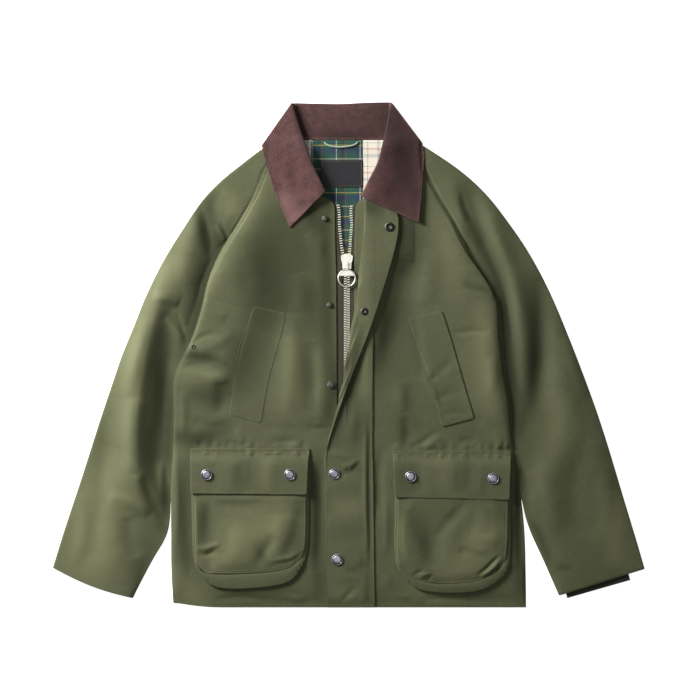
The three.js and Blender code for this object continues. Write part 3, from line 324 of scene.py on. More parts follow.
PAINTED_SHADING_POCKETS = [
    (0.8, 12, 11, -228,-236, -230,-275, -230,-316),
    (0.4, 8, 8, -126,-340, -142,-320, -152,-294),
    (0.5, 9, 9, -76,-266, -84,-295, -94,-326),
    (-0.5, 4, 4, -246,-230, -247,-275, -245,-325),
    (-0.9, 30, 30, -88,-246, -128,-272, -180,-304, -222,-354),
    (-0.3, 14, 14, -200,-240, -196,-270, -190,-300),
    (0.7, 15, 16, 112,-246, 122,-290, 134,-340),
    (0.4, 6, 6, 182,-332, 210,-318, 240,-310),
    (-0.4, 6, 8, 86,-246, 85,-290, 92,-330),
    (-0.85, 30, 30, 146,-366, 186,-322, 222,-290, 254,-266),
    (0.3, 16, 16, -165,-156, -166,-190, -164,-226),
    (-0.3, 12, 12, -130,-158, -132,-190, -130,-224),
    (0.35, 10, 12, 188,-156, 188,-190, 186,-232),
    (-0.4, 14, 14, 150,-158, 150,-190, 152,-230),
    (0.4, 22, 14, 84,-160, 86,-190, 88,-230),
]

PAINTED_SHADING_STORM_FLAP = [
    (1.0, 16, 14, -14,264, 10,246, 60,226),
    (0.9, 13, 7, 22,60, 4,-30, -12,-96, -30,-156),
    (0.5, 12, 12, 24,-60, 12,-120, 6,-165),
    (0.7, 6, 6, -6,-192, 10,-184, 26,-178),
    (0.6, 5, 5, -8,-346, 12,-341, 34,-336),
    (-0.3, 18, 18, -34,-240, -6,-240, 24,-242),
    (-0.3, 12, 12, -34,-380, -6,-384, 24,-382),
]

# The same painted shade and painted light for the collar's pile
PAINTED_SHADING_COLLAR = [
    (0.95, 40, 36, 56,450, 84,350, 90,270, 98,200),
    (0.45, 26, 26, -80,378, 0,374, 70,380),
    (0.7, 10, 8, -90,404, -76,360, -64,330),
    (0.35, 10, 10, -70,340, -58,300, -44,260),
    (0.9, 13, 13, -72,346, -30,345, 10,345, 50,348),
    (0.3, 20, 22, -120,350, -110,310, -96,270),
    (-0.5, 22, 18, -112,262, -102,236, -92,206),
    (-0.5, 8, 8, -60,236, -78,222, -100,212),
]

# Where the body meets the sleeves. Columns: y, x on the right, x on the left.
BODY_EDGE = np.array([
    (-405, -281, 284), (-340, -284, 283), (-278, -284, 281), (-207, -284, 273), (-137, -279, 263),
    (-75, -279, 258), (-34, -278, 250), (28, -249, 243), (84, -232, 240), (110, -227, 228),
    (162, -206, 194), (213, -174, 168), (254, -151, 144), (297, -134, 120), (338, -104, 98),
], float)

# The parts of the fronts that the bellows pockets cover: low x, high x, low y, high y
POCKET_AREAS = {"right": (-252, -63, -374, -150), "left": (70, 260, -381, -154)}
LOFT = 2.2  # how far the fronts stand off the back above the pockets
LOWEST_FOLD = -3.2
PUCKER_HEIGHT = 2.4
RIM_WEAR_AND_HIGHLIGHT = 1.3  # how far the worn rim of a piece, also painted paler as a highlight, reaches in
ARMPIT_DIP = 2.6  # how far a sleeve dives under the body's edge above the armpit
ZIP_X = -3
FRONT_EDGE = {"right": -20, "left": 9}


def smooth(t):
    c = np.clip(t, 0, 1)
    return c * c * (3 - 2 * c)


def mix(a, b, share):
    return a + (b - a) * share


def curve_through(points, spacing):
    """Points on a smooth curve through the given ones, about spacing apart."""
    p = np.array(points, float)
    if len(p) == 2:
        count = max(int(np.linalg.norm(p[1] - p[0]) / spacing), 1)
        return p[0] + (p[1] - p[0]) * np.linspace(0, 1, count + 1)[:, None]
    before = np.vstack([2 * p[0] - p[1], p[:-2], p[-2:-1]])
    after = np.vstack([p[2:], 2 * p[-1] - p[-2]])
    made = []
    for i in range(len(p) - 1):
        a, b, c, d = before[i], p[i], p[i + 1], after[i]
        count = max(int(np.linalg.norm(c - b) / spacing), 1)
        t = np.linspace(0, 1, count, endpoint=False)[:, None]
        made.append(0.5 * (2 * b + (c - a) * t + (2 * a - 5 * b + 4 * c - d) * t**2
                           + (3 * b - a - 3 * c + d) * t**3))
    return np.vstack([*made, p[-1:]])


def fold_height(folds, x, y, depth=1):
    """The height that folds add at x, y. Wide folds are made depth times as deep, narrow ones are not."""
    total = np.zeros(len(x))
    for height, left, right, *places in folds:
        height *= 1 + (depth - 1) * smooth((max(left, right) - 5) / 9)
        line = curve_through(list(zip(places[::2], places[1::2])), 14)
        reach = 3 * max(left, right)
        near = np.flatnonzero(
            (x > line[:, 0].min() - reach) & (x < line[:, 0].max() + reach)
            & (y > line[:, 1].min() - reach) & (y < line[:, 1].max() + reach))
        px, py = x[near], y[near]
        closest = np.full(len(near), 1e9)
        along, side = np.zeros(len(near)), np.zeros(len(near))
        done = 0
        for start, end in zip(line[:-1], line[1:]):
            step = end - start
            length = np.hypot(*step)
            t = np.clip(((px - start[0]) * step[0] + (py - start[1]) * step[1]) / length**2, 0, 1)
            dx, dy = px - start[0] - t * step[0], py - start[1] - t * step[1]
            distance = np.hypot(dx, dy)
            nearer = distance < closest
            closest[nearer] = distance[nearer]
            along[nearer] = done + t[nearer] * length
            side[nearer] = (step[0] * dy - step[1] * dx)[nearer]
            done += length
        share = along / done
        width = np.where(side > 0, left, right)
        total[near] += height * (4 * share * (1 - share))**0.7 * np.exp(-(closest / width)**2)
    return total


def ripple(x, y, size, seed):
    """Soft uneven waves between -1 and 1, about size across."""
    return np.array([noise.noise(Vector((a / size, b / size, seed))) for a, b in zip(x, y)])


def from_body_edge(side, x, y):
    """How far a place lies from the line where the body meets a sleeve, in X."""
    return np.abs(np.interp(y, BODY_EDGE[:, 0], BODY_EDGE[:, 1 if side == "right" else 2]) - x)


def pucker(x, y, line, reach):
    """Little gathers that a line of stitches at the height line draws up."""
    waves = ripple(x, np.full(len(x), 0.0), 9, 2.7) + 0.5 * ripple(x, y, 5, 6.1)
    return PUCKER_HEIGHT * waves * np.exp(-((y - line) / reach)**2)


def front_lift(side, x, y):
    """How far a front's cloth stands above its CAD solid. It is held at its edges and under the pocket."""
    folds = FOLDS_RIGHT_FRONT if side == "right" else FOLDS_LEFT_FRONT
    # The right front's edge stands a little over its sleeve
    held_side = smooth(from_body_edge(side, x, y) / mix(4, 8, smooth((y - 120) / 60)))
    held_side = np.maximum(held_side, 0.85 if side == "right" else 0.15)
    held_zip = smooth((np.abs(x - FRONT_EDGE[side]) - 4) / 24)
    low_x, high_x, low_y, high_y = POCKET_AREAS[side]
    outside = np.maximum(np.maximum(low_x - x, x - high_x), np.maximum(low_y - y, y - high_y))
    held_hem = smooth((y + 405) / 12)
    free = held_side * held_zip * smooth(outside / 9) * held_hem
    waves = 1.0 * ripple(x, y, 62, 3.1) + 0.2 * ripple(x, y, 21, 8.4)
    loft = LOFT * smooth((y + 135) / 70)
    gathers = pucker(x, y, high_y + 6, 6) * smooth((x - low_x) / 8) * smooth((high_x - x) / 8)
    height = np.maximum(loft + fold_height(folds, x, y, DEPTH) + waves, LOWEST_FOLD)
    return free * height + gathers * held_side


def body_lift(x, y):
    return np.where(x < ZIP_X, front_lift("right", x, y), front_lift("left", x, y))


# Meshes

def points_of(mesh):
    flat = np.empty(len(mesh.vertices) * 3)
    mesh.vertices.foreach_get("co", flat)
    return flat.reshape(-1, 3) / MM


def move_points(mesh, points):
    mesh.vertices.foreach_set("co", (points * MM).astype(np.float32).ravel())
    mesh.update()


def add_object(name, mesh, body="jacket"):
    piece = bpy.data.objects.new(name, mesh)
    scene.collection.objects.link(piece)
    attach(piece, body)
    return piece


def join_rings(faces, start, size, rings):
    """Adds the quads between rings of points, size points each, and the faces that close both ends."""
    for level in range(rings - 1):
        for k in range(size):
            a, b = start + level * size + k, start + level * size + (k + 1) % size
            faces.append((a, b, b + size, a + size))
    last = start + (rings - 1) * size
    faces.append(tuple(start + k for k in reversed(range(size))))
    faces.append(tuple(last + k for k in range(size)))


def mesh_from(name, points, faces):
    mesh = bpy.data.meshes.new(name)
    mesh.from_pydata([tuple(v) for v in np.asarray(points) * MM], [], faces)
    mesh.validate()
    return mesh


def rounded_copy(name, node, levels, sharpness=0.85):
    """A CAD wall with its triangles joined to quads and subdivided. The rim stays nearly sharp."""
    work = bmesh.new()
    work.from_mesh(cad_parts[node].data)
    bmesh.ops.remove_doubles(work, verts=work.verts, dist=0.02 * MM)
    bmesh.ops.join_triangles(
        work, faces=work.faces, angle_face_threshold=math.radians(35),
        angle_shape_threshold=math.radians(60))
    crease = work.edges.layers.float.get("crease_edge") or work.edges.layers.float.new("crease_edge")
    rim = []
    for edge in work.edges:
        if edge.is_manifold and edge.calc_face_angle(0) > math.radians(62):
            edge[crease] = sharpness
            a, b = edge.verts[0].co, edge.verts[1].co
            count = max(int((b - a).length / (3 * MM)), 1)
            rim += [a.lerp(b, k / count) for k in range(count + 1)]
    rough = bpy.data.meshes.new(name + "_rough")
    work.to_mesh(rough)
    work.free()
    holder = bpy.data.objects.new(name + "_rough", rough)
    scene.collection.objects.link(holder)
    rounding = holder.modifiers.new("rounding", "SUBSURF")
    rounding.levels = rounding.render_levels = levels
    bpy.context.view_layer.update()
    mesh = bpy.data.meshes.new_from_object(
        holder.evaluated_get(bpy.context.evaluated_depsgraph_get()))
    mesh.name = name
    bpy.data.objects.remove(holder)
    bpy.data.meshes.remove(rough)
    return mesh, rim


def store(mesh, name, values):
    layer = mesh.attributes.get(name) or mesh.attributes.new(name, "FLOAT", "POINT")
    layer.data.foreach_set("value", np.asarray(values, np.float32))


def mark_rim_and_painted_shading(mesh, rim, painted_shading_table):
    """Stores how near each point is to a rim, and the painted shade or painted light at its place."""
    tree = kdtree.KDTree(len(rim))
    for i, p in enumerate(rim):
        tree.insert(p, i)
    tree.balance()
    edge = [math.exp(-tree.find(v.co)[2] / (RIM_WEAR_AND_HIGHLIGHT * MM)) for v in mesh.vertices]
    store(mesh, "rim", edge)
    points = points_of(mesh)
    store(mesh, "painted_shading", np.clip(fold_height(painted_shading_table, points[:, 0], points[:, 1]), -1, 1))


# At a seam the sleeve's edge moves inward by the first, and the body's edge outward by the second
SLEEVE_SHIFT = -1.0
BODY_SHIFT = 0.4


def close_seam(node, points):
    """Draws the fronts, the back and the sleeves together along their seams, over the gap of the CAD."""
    for side, outward in (("right", -1), ("left", 1)):
        if node in ("back", f"front_{side}", f"sleeve_{side}"):
            near = np.exp(-(from_body_edge(side, points[:, 0], points[:, 1]) / 5)**2)
            near *= smooth((points[:, 1] + 240) / 16)
            points[:, 0] += (SLEEVE_SHIFT if node == f"sleeve_{side}" else BODY_SHIFT) * outward * near


def cloth(name, node, levels, lift, material, painted_shading_table=()):
    """A cloth piece on the form of its CAD node, raised by lift(x, y, z)."""
    mesh, rim = rounded_copy(name, node, levels)
    points = points_of(mesh)
    raised = lift(points[:, 0], points[:, 1], points[:, 2])
    up = np.array([n.vector.z for n in mesh.vertex_normals]) > 0
    # An upper layer never sinks into the layer under it, whose top is at 1.2
    floor = np.where(points[:, 2] > 1.9, np.where(up, 2.9, 1.7), 0.02)
    points[:, 2] = np.maximum(points[:, 2] + raised, np.minimum(points[:, 2], floor))
    close_seam(node, points)
    move_points(mesh, points)
    mark_rim_and_painted_shading(mesh, rim, painted_shading_table)
    return finish_cloth(name, mesh, node, material)


def finish_cloth(name, mesh, node, material):
    smooth_shaded(mesh)
    mesh.materials.clear()
    mesh.materials.append(material)
    piece = add_object(name, mesh)
    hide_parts(node)
    return piece


def shell(grid, wall):
    """Points and faces of a closed wall whose underside is grid, rows of points, and top is wall above."""
    rows, columns = grid.shape[:2]
    top = grid.copy()
    top[:, :, 2] += wall
    points = np.vstack([top.reshape(-1, 3), grid.reshape(-1, 3)])
    below = rows * columns
    faces = []
    for i in range(rows - 1):
        for j in range(columns - 1):
            a, b = i * columns + j, i * columns + j + 1
            c, d = b + columns, a + columns
            faces.append((a, b, c, d))
            faces.append((below + d, below + c, below + b, below + a))
    ring = list(range(columns))
    ring += [i * columns + columns - 1 for i in range(1, rows)]
    ring += [(rows - 1) * columns + j for j in range(columns - 2, -1, -1)]
    ring += [i * columns for i in range(rows - 2, 0, -1)]
    for k, a in enumerate(ring):
        b = ring[(k + 1) % len(ring)]
        faces.append((b, a, below + a, below + b))
    return points, faces, [points[k] for k in ring]


def smooth_shaded(mesh):
    for polygon in mesh.polygons:
        polygon.use_smooth = True


def facing_out(mesh):
    work = bmesh.new()
    work.from_mesh(mesh)
    bmesh.ops.recalc_face_normals(work, faces=work.faces)
    work.to_mesh(mesh)
    work.free()


def panel(left, bottom, right, rows, columns):
    """A grid of points inside an outline: a straight top between left's and right's first points."""
    def spread(points, count):
        line = curve_through(points, 2)
        steps = np.concatenate([[0], np.cumsum(np.hypot(*np.diff(line, axis=0).T))])
        at = np.linspace(0, steps[-1], count)
        return np.stack([np.interp(at, steps, line[:, 0]), np.interp(at, steps, line[:, 1])], axis=1)
    lefts, rights = spread(left, rows), spread(right, rows)
    bottoms = spread(bottom, columns)
    s = np.linspace(0, 1, columns)[None, :, None]
    t = np.linspace(0, 1, rows)[:, None, None]
    tops = lefts[0] + (rights[0] - lefts[0]) * s[0]
    corners = ((1 - s) * (1 - t) * lefts[0] + s * (1 - t) * rights[0]
               + (1 - s) * t * lefts[-1] + s * t * rights[-1])
    flat = (1 - s) * lefts[:, None] + s * rights[:, None] + (1 - t) * tops[None] + t * bottoms[None] - corners
    return flat


# Materials

def colour(code):
    """An sRGB hex colour as the linear values that the shader takes."""
    parts = [int(code[i:i + 2], 16) / 255 for i in (1, 3, 5)]
    return tuple(c / 12.92 if c <= 0.04045 else ((c + 0.055) / 1.055)**2.4 for c in parts) + (1,)


def add_node(material, kind, settings=(), **inputs):
    """One shader node with its settings, and its inputs as values or as another node's output."""
    node = material.node_tree.nodes.new("ShaderNode" + kind)
    for name, value in dict(settings).items():
        setattr(node, name, value)
    for name, value in inputs.items():
        key = int(name[1:]) if name[0] == "_" else name.replace("_", " ")
        if isinstance(value, bpy.types.NodeSocket):
            material.node_tree.links.new(value, node.inputs[key])
        else:
            node.inputs[key].default_value = value
    return node


def new_material(name):
    material = bpy.data.materials.new(name)
    material.use_nodes = True
    material.node_tree.nodes.clear()
    return material


def finish_material(material, **inputs):
    shader = add_node(material, "BsdfPrincipled", **inputs)
    add_node(material, "OutputMaterial", Surface=shader.outputs[0])
    return material


def threads_per_metre(spacing):
    """The Wave texture's scale for bands that are spacing millimetres apart."""
    return 2 * math.pi / 20 / (spacing * MM)


def mixed(material, share, first, second, way="MIX"):
    node = add_node(material, "Mix", {"data_type": "RGBA", "blend_type": way}, _0=share)
    for index, value in ((6, first), (7, second)):
        if isinstance(value, bpy.types.NodeSocket):
            material.node_tree.links.new(value, node.inputs[index])
        else:
            node.inputs[index].default_value = value
    return node.outputs[2]


def ranged(material, value, from_low, from_high, to_low=0.0, to_high=1.0):
    """The value, with one range of it stretched over another and held at its ends."""
    return add_node(material, "MapRange", Value=value, _1=from_low, _2=from_high, _3=to_low,
                    _4=to_high).outputs[0]


def painted_light_and_shade(material, base, light, deep):
    """The colour with the painted shade and painted light of the cloth's table: darker where it is positive,
    else paler.
    """
    painted_shading = add_node(material, "Attribute", {"attribute_name": "painted_shading"}).outputs["Fac"]
    paler = ranged(material, painted_shading, 0.0, -1.0, to_high=0.78)
    darker = ranged(material, painted_shading, 0.0, 1.0, to_high=0.92)
    return mixed(material, darker, mixed(material, paler, base, light), deep)


def worn_and_highlit_at_rim(material, base, share, pale):
    """The colour, paler along the rim of the piece: partly wear, partly a painted highlight on the edge."""
    rim = add_node(material, "Attribute", {"attribute_name": "rim"}).outputs["Fac"]
    rubbed = add_node(material, "Math", {"operation": "MULTIPLY"}, _0=rim, _1=share)
    return mixed(material, rubbed.outputs[0], base, pale)


def waxed_cotton(name, ground, dark, light, deep):
    """Waxed cotton: plain-woven cotton dressed with wax. It gives a dry, low sheen, a cloudy colour,
    painted shade and painted light from its table, paler rims that are partly wear and partly a painted
    highlight, and a fine weave."""
    m = new_material(name)
    place = add_node(m, "TexCoord").outputs["Object"]
    # The clouds of wax are about 45 mm and 9 mm across
    clouds = add_node(m, "TexNoise", Vector=place, Scale=1 / 0.045, Detail=4, Roughness=0.6)
    specks = add_node(m, "TexNoise", Vector=place, Scale=1 / 0.009, Detail=3, Roughness=0.65)
    base = mixed(m, ranged(m, clouds.outputs[0], 0.3, 0.7, 0.7, 1.0), colour(dark), colour(ground))
    base = mixed(m, ranged(m, specks.outputs[0], 0.5, 0.8, to_high=0.16), base, colour(light))
    # Painted shade and painted light, from the piece's table
    base = painted_light_and_shade(m, base, colour(light), colour(deep))
    # Paler along the rim: partly wear, partly a painted highlight
    base = worn_and_highlit_at_rim(m, base, 0.28, colour(light))
    # Threads lie 0.5 mm apart. They are drawn 1.4 mm apart, because finer ones don't show.
    warp, weft = (add_node(m, "TexWave", {"bands_direction": axis}, Vector=place,
                           Scale=threads_per_metre(1.4), Distortion=0.6, Detail=1) for axis in "XY")
    weave = add_node(m, "Math", {"operation": "ADD"}, _0=warp.outputs[1], _1=weft.outputs[1])
    base = mixed(m, ranged(m, weave.outputs[0], 0.0, 2.0, 0.16, 0.0), base, colour(dark))
    crumple = add_node(m, "TexNoise", Vector=place, Scale=1 / 0.016, Detail=3, Roughness=0.55)
    soft = add_node(m, "Bump", Strength=0.3, Distance=0.9 * MM, Height=crumple.outputs[0])
    bump = add_node(m, "Bump", Strength=0.35, Distance=0.12 * MM, Height=weave.outputs[0],
                    Normal=soft.outputs[0])
    rough = ranged(m, clouds.outputs[0], 0.3, 0.7, 0.66, 0.78)
    return finish_material(m, Base_Color=base, Roughness=rough, Normal=bump.outputs[0],
                           Specular_IOR_Level=0.2, Sheen_Weight=0.04, Sheen_Roughness=0.5)


def corduroy():
    """Needlecord in cotton: cut pile in narrow wales. It gives a soft, mottled, nearly matt brown
    with painted shade and painted light from its table, and darker between the wales."""
    m = new_material("cotton needlecord")
    place = add_node(m, "TexCoord").outputs["Object"]
    # The pile is crushed in patches about 14 mm across, with flecks of 2.5 mm
    patches = add_node(m, "TexNoise", Vector=place, Scale=1 / 0.014, Detail=5, Roughness=0.7)
    flecks = add_node(m, "TexNoise", Vector=place, Scale=1 / 0.0025, Detail=2, Roughness=0.6)
    base = mixed(m, ranged(m, patches.outputs[0], 0.38, 0.64), colour("#452f2e"), colour("#5f403d"))
    base = mixed(m, ranged(m, flecks.outputs[0], 0.45, 0.75, to_high=0.35), base, colour("#735552"))
    # Painted shade and painted light, from the collar's table
    base = painted_light_and_shade(m, base, colour("#8d6b67"), colour("#2b1d1c"))
    # Wales of needlecord are about 1.6 mm apart. They are drawn 2.8 mm apart, so that they show.
    wale = add_node(m, "Attribute", {"attribute_name": "wale"}).outputs["Fac"]
    turn = add_node(m, "Math", {"operation": "MULTIPLY"}, _0=wale, _1=2 * math.pi / 2.8)
    ridge = add_node(m, "Math", {"operation": "SINE"}, _0=turn.outputs[0])
    base = mixed(m, ranged(m, ridge.outputs[0], 0.0, -1.0, to_high=0.45), base, colour("#2c1d1b"))
    # Paler along the rim: partly wear, partly a painted highlight
    base = worn_and_highlit_at_rim(m, base, 0.5, colour("#94716c"))
    pile = add_node(m, "Bump", Strength=0.5, Distance=0.35 * MM, Height=flecks.outputs[0])
    bump = add_node(m, "Bump", Strength=0.5, Distance=0.3 * MM, Height=ridge.outputs[0],
                    Normal=pile.outputs[0])
    return finish_material(m, Base_Color=base, Roughness=0.88, Normal=bump.outputs[0],
                           Specular_IOR_Level=0.2, Sheen_Weight=0.18, Sheen_Roughness=0.45)


# One repeat of the lining's check: the share of the repeat at which each colour starts
CHECK_REPEAT = 38  # millimetres
CHECK_ACROSS = [(0, "#1f4436"), (0.3, "#27324f"), (0.46, "#b8b59c"), (0.5, "#1f4436"), (0.66, "#1c2630"),
                (0.84, "#8c3a34"), (0.87, "#1f4436")]
PALE_ACROSS = [(0, "#cfc8b6"), (0.2, "#8c93a0"), (0.32, "#d8cfbf"), (0.5, "#b98a84"), (0.6, "#cfc8b6"),
               (0.78, "#6c727c"), (0.82, "#cfc8b6")]
PALE_ALONG = [(0, "#d8d1c0"), (0.3, "#9aa0a8"), (0.44, "#d8d1c0"), (0.62, "#b98a84"), (0.7, "#d8d1c0"),
              (0.9, "#777b80"), (0.93, "#d8d1c0")]
PALE_PANELS = (-60, 23)  # the pale check lies left of the first place and right of the second
CHECK_ALONG = [(0, "#234a3b"), (0.22, "#b8b59c"), (0.26, "#234a3b"), (0.48, "#27324f"), (0.7, "#234a3b"),
               (0.8, "#c2a54f"), (0.83, "#234a3b")]


def check_lining():
    """Cotton check lining, twill-woven from dyed threads. It gives bands that mix where they cross,
    with the fine diagonal of the twill over them."""
    m = new_material("woven cotton check")
    place = add_node(m, "TexCoord").outputs["Object"]
    parts = add_node(m, "SeparateXYZ", Vector=place)
    bands = []
    for axis, stops in ((0, CHECK_ACROSS), (1, CHECK_ALONG), (0, PALE_ACROSS), (1, PALE_ALONG)):
        repeats = add_node(m, "Math", {"operation": "DIVIDE"}, _0=parts.outputs[axis], _1=CHECK_REPEAT * MM)
        share = add_node(m, "Math", {"operation": "FRACT"}, _0=repeats.outputs[0])
        ramp = add_node(m, "ValToRGB", Fac=share.outputs[0])
        ramp.color_ramp.interpolation = "CONSTANT"
        while len(ramp.color_ramp.elements) < len(stops):
            ramp.color_ramp.elements.new(1)
        for element, (position, code) in zip(ramp.color_ramp.elements, stops):
            element.position = position
            element.color = colour(code)
        bands.append(ramp.outputs[0])
    # Twill lines of 0.8 mm are drawn 1.8 mm apart, because finer ones don't show
    twill = add_node(m, "TexWave", {"bands_direction": "DIAGONAL"}, Vector=place,
                     Scale=threads_per_metre(1.8))
    over = ranged(m, twill.outputs[1], 0.35, 0.65)
    base = mixed(m, over, bands[0], bands[1])
    pale = mixed(m, over, bands[2], bands[3])
    for place_x, way in zip(PALE_PANELS, ("LESS_THAN", "GREATER_THAN")):
        beyond = add_node(m, "Math", {"operation": way}, _0=parts.outputs[0], _1=place_x * MM)
        base = mixed(m, beyond.outputs[0], base, pale)
    bump = add_node(m, "Bump", Strength=0.4, Distance=0.15 * MM, Height=twill.outputs[1])
    return finish_material(m, Base_Color=base, Roughness=0.85, Normal=bump.outputs[0],
                           Specular_IOR_Level=0.25, Sheen_Weight=0.2)


def ribbed(name, ground, dark, spacing, angle, depth, roughness=0.9):
    """A textile with one set of ribs, spacing millimetres apart, at an angle to X: rib knit, a woven
    tape, braid or satin. It gives fine lines with dark grooves and an uneven, matt thread colour."""
    m = new_material(name)
    place = add_node(m, "TexCoord").outputs["Object"]
    turned = add_node(m, "Mapping", {"vector_type": "TEXTURE"}, Vector=place,
                      Rotation=(0, 0, math.radians(angle)))
    rib = add_node(m, "TexWave", {"bands_direction": "X"}, Vector=turned.outputs[0],
                   Scale=threads_per_metre(spacing), Distortion=0.4)
    fuzz = add_node(m, "TexNoise", Vector=place, Scale=1 / 0.003, Detail=3)
    base = mixed(m, ranged(m, rib.outputs[1], 0.1, 0.7), colour(dark), colour(ground))
    base = mixed(m, ranged(m, fuzz.outputs[0], 0.4, 0.8, to_high=0.5), base, colour(dark))
    bump = add_node(m, "Bump", Strength=0.6, Distance=depth * MM, Height=rib.outputs[1])
    return finish_material(m, Base_Color=base, Roughness=roughness, Normal=bump.outputs[0],
                           Specular_IOR_Level=0.25, Sheen_Weight=0.2)


def metal(name, bright, dull, roughness, patch):
    """Plated metal, stamped or cast and tumbled. It gives a soft gleam with duller patches, patch
    millimetres across, where the plating is rubbed or tarnished."""
    m = new_material(name)
    place = add_node(m, "TexCoord").outputs["Object"]
    tarnish = add_node(m, "TexNoise", Vector=place, Scale=1 / (patch * MM), Detail=4, Roughness=0.6)
    scuffs = add_node(m, "TexNoise", Vector=place, Scale=1 / (0.5 * MM), Detail=2)
    base = mixed(m, ranged(m, tarnish.outputs[0], 0.4, 0.68), colour(bright), colour(dull))
    rough = ranged(m, scuffs.outputs[0], 0.3, 0.7, roughness - 0.08, roughness + 0.12)
    bump = add_node(m, "Bump", Strength=0.2, Distance=0.08 * MM, Height=scuffs.outputs[0])
    return finish_material(m, Base_Color=base, Metallic=1.0, Roughness=rough, Normal=bump.outputs[0])


# Its last colour is the painted shade of the tables; its pale one is also their painted light and the rim's
# painted highlight
WAXED = waxed_cotton("waxed cotton, outer", "#52553b", "#454831", "#777957", "#2b2f1b")
CORD = corduroy()
CHECK = check_lining()
LABEL = ribbed("woven polyester satin", "#232226", "#141316", 1.6, 90, 0.1, 0.6)
BRAID = ribbed("braided cotton loop", "#a9b8a4", "#6d7d70", 2.2, 40, 0.3)
KNIT = ribbed("wool rib knit", "#3a3a2e", "#20201a", 3.2, -16, 0.9)
TAPE = ribbed("woven zip tape", "#454232", "#2a291e", 1.8, 45, 0.2)
THREAD = ribbed("polyester sewing thread", "#6f6f4f", "#4a4b34", 0.8, 0, 0.05, 0.6)
# Near-black thread, whose rows beside the facing are a painted shadow line
SHADOW_LINE_THREAD = ribbed("polyester sewing thread, dark for a painted shadow line", "#2e3023", "#1d1e15", 0.8, 0, 0.05, 0.7)
BROWN_THREAD = ribbed("polyester sewing thread, brown", "#6a4b48", "#432e2c", 0.8, 0, 0.05, 0.6)
NICKEL = metal("nickel-plated zinc", "#f8f5ea", "#e0dccd", 0.34, 4)
TEETH = metal("nickel-plated brass teeth", "#fffbe9", "#e6e2cd", 0.32, 6)
SNAP = metal("antique nickel", "#adadb7", "#75757f", 0.42, 5)
STUD = metal("antique nickel, worn dull", "#63645a", "#474840", 0.6, 4)
PATINA = metal("antique nickel, oxidised", "#3a3a3a", "#232323", 0.55, 3)

# Cloth pieces

def upper_layer(z, low, high):
    """1 on a piece's upper layer, 0 on what lies under it."""
    return smooth((z - low) / (high - low))


def lift_front(side):
    return lambda x, y, z: front_lift(side, x, y)


def lift_sleeve(side, folds, seed, loft):
    def lift(x, y, z):
        waves = loft + 1.0 * ripple(x, y, 58, seed) + 0.2 * ripple(x, y, 20, seed + 4)
        # Below the armpit a sleeve sinks towards the body. Along the shoulder it is level with it.
        reach = mix(20, 7, smooth((y - 140) / 60))
        away = from_body_edge(side, x, y)
        held = np.maximum(smooth(away / reach), smooth((-230 - y) / 40))
        # Above the armpit the sleeve dives under the body's edge
        dip = ARMPIT_DIP * np.exp(-(away / 18)**2) * smooth((y - 4) / 40) * smooth((204 - y) / 40)
        return upper_layer(z, 1.7, 4.6) * (held * (fold_height(folds, x, y, DEPTH) + waves) - dip)
    return lift


def lift_flap(x, y, z):
    body = smooth((35 - x) / 12) * smooth((-60 - y) / 60) * smooth((y + 404) / 16)
    dome = 1.5 * body * smooth((x + 44) / 10) + np.maximum(body_lift(x, y), 0)
    free = np.maximum(body, smooth((y + 110) / 60) * smooth((35 - x) / 12) * 0.6)
    raised = dome + free * (fold_height(FOLDS_STORM_FLAP, x, y) + 0.4 * ripple(x, y, 40, 5.5))
    ridge = fold_height(FLAP_RIDGE, x, y) * (1 - body) * smooth((y + 404) / 16)
    return np.maximum(raised + ridge, -0.3)


# The turned top of the collar, from its right front end round the back to its left front end
COLLAR_FOLD = np.array([
    (-36, 261), (-47, 283), (-57, 304), (-68, 334), (-91, 403), (-48, 402), (28, 404), (68, 404),
    (56, 346), (46, 306), (30, 276), (19, 253)], float)


def from_collar_fold(x, y):
    closest = np.full(len(x), 1e9)
    for start, end in zip(COLLAR_FOLD[:-1], COLLAR_FOLD[1:]):
        step = end - start
        t = np.clip(((x - start[0]) * step[0] + (y - start[1]) * step[1]) / (step @ step), 0, 1)
        closest = np.minimum(closest, np.hypot(x - start[0] - t * step[0], y - start[1] - t * step[1]))
    return closest


def lift_collar(x, y, z):
    outer = upper_layer(z, 6.4, 8)
    under = np.maximum(body_lift(x, np.minimum(y, 300)), 0)
    roll = 6.5 * smooth(1 - from_collar_fold(x, y) / 66) * smooth((360 - y) / 30)
    return outer * (under + 0.6 + roll + 1.6 * fold_height(FOLDS_COLLAR, x, y) + 0.6 * ripple(x, y, 34, 2.2))


def lift_back(x, y, z):
    inside = smooth((260 - np.abs(x)) / 60) * smooth((y + 400) / 40) * smooth((300 - y) / 40)
    return inside * fold_height(FOLDS_BACK, x, y)


def lift_pocket_flap(x, y, z):
    top = np.where(x < 0, -150, -154)
    waves = 0.5 + fold_height(FOLDS_POCKET_FLAPS, x, y) + 0.2 * ripple(x, y, 26, 9.1)
    return smooth((top - 14 - y) / 14) * waves.clip(-0.1) + pucker(x, y, top - 8, 5).clip(-0.25)


def lift_gusset(x, y, z):
    """Little tucks where the gusset turns its corners."""
    tucks = 0
    for cx, cy in ((-222, -366), (-80, -340), (246, -348), (96, -362)):
        near = np.exp(-((x - cx)**2 + (y - cy)**2) / 16**2)
        tucks = tucks + near * np.sin((x + 0.4 * y) * 2 * math.pi / 7.5)
    # It rolls out below the face, between its seams at the heights 9.3 and 3.8
    across = np.arccos(np.clip((z - 3.4) / 5.9, 0, 1)) * 2 / math.pi
    roll = mix(0.7, 2.6, smooth((-322 - y) / 18)) * np.sin(math.pi * across**0.6)
    return 0.7 * tucks * smooth((9 - z) / 1.5) + roll


def lift_welt(x, y, z):
    # The right welt lies flatter than the left one
    return body_lift(x, y) + np.where(x < 0, -0.9, 0.1)


def lift_lining(x, y, z):
    return 0.25 * ripple(x, y, 24, 1.7) * smooth((310 - y) / 40)


def plain(x, y, z):
    return np.zeros(len(x))


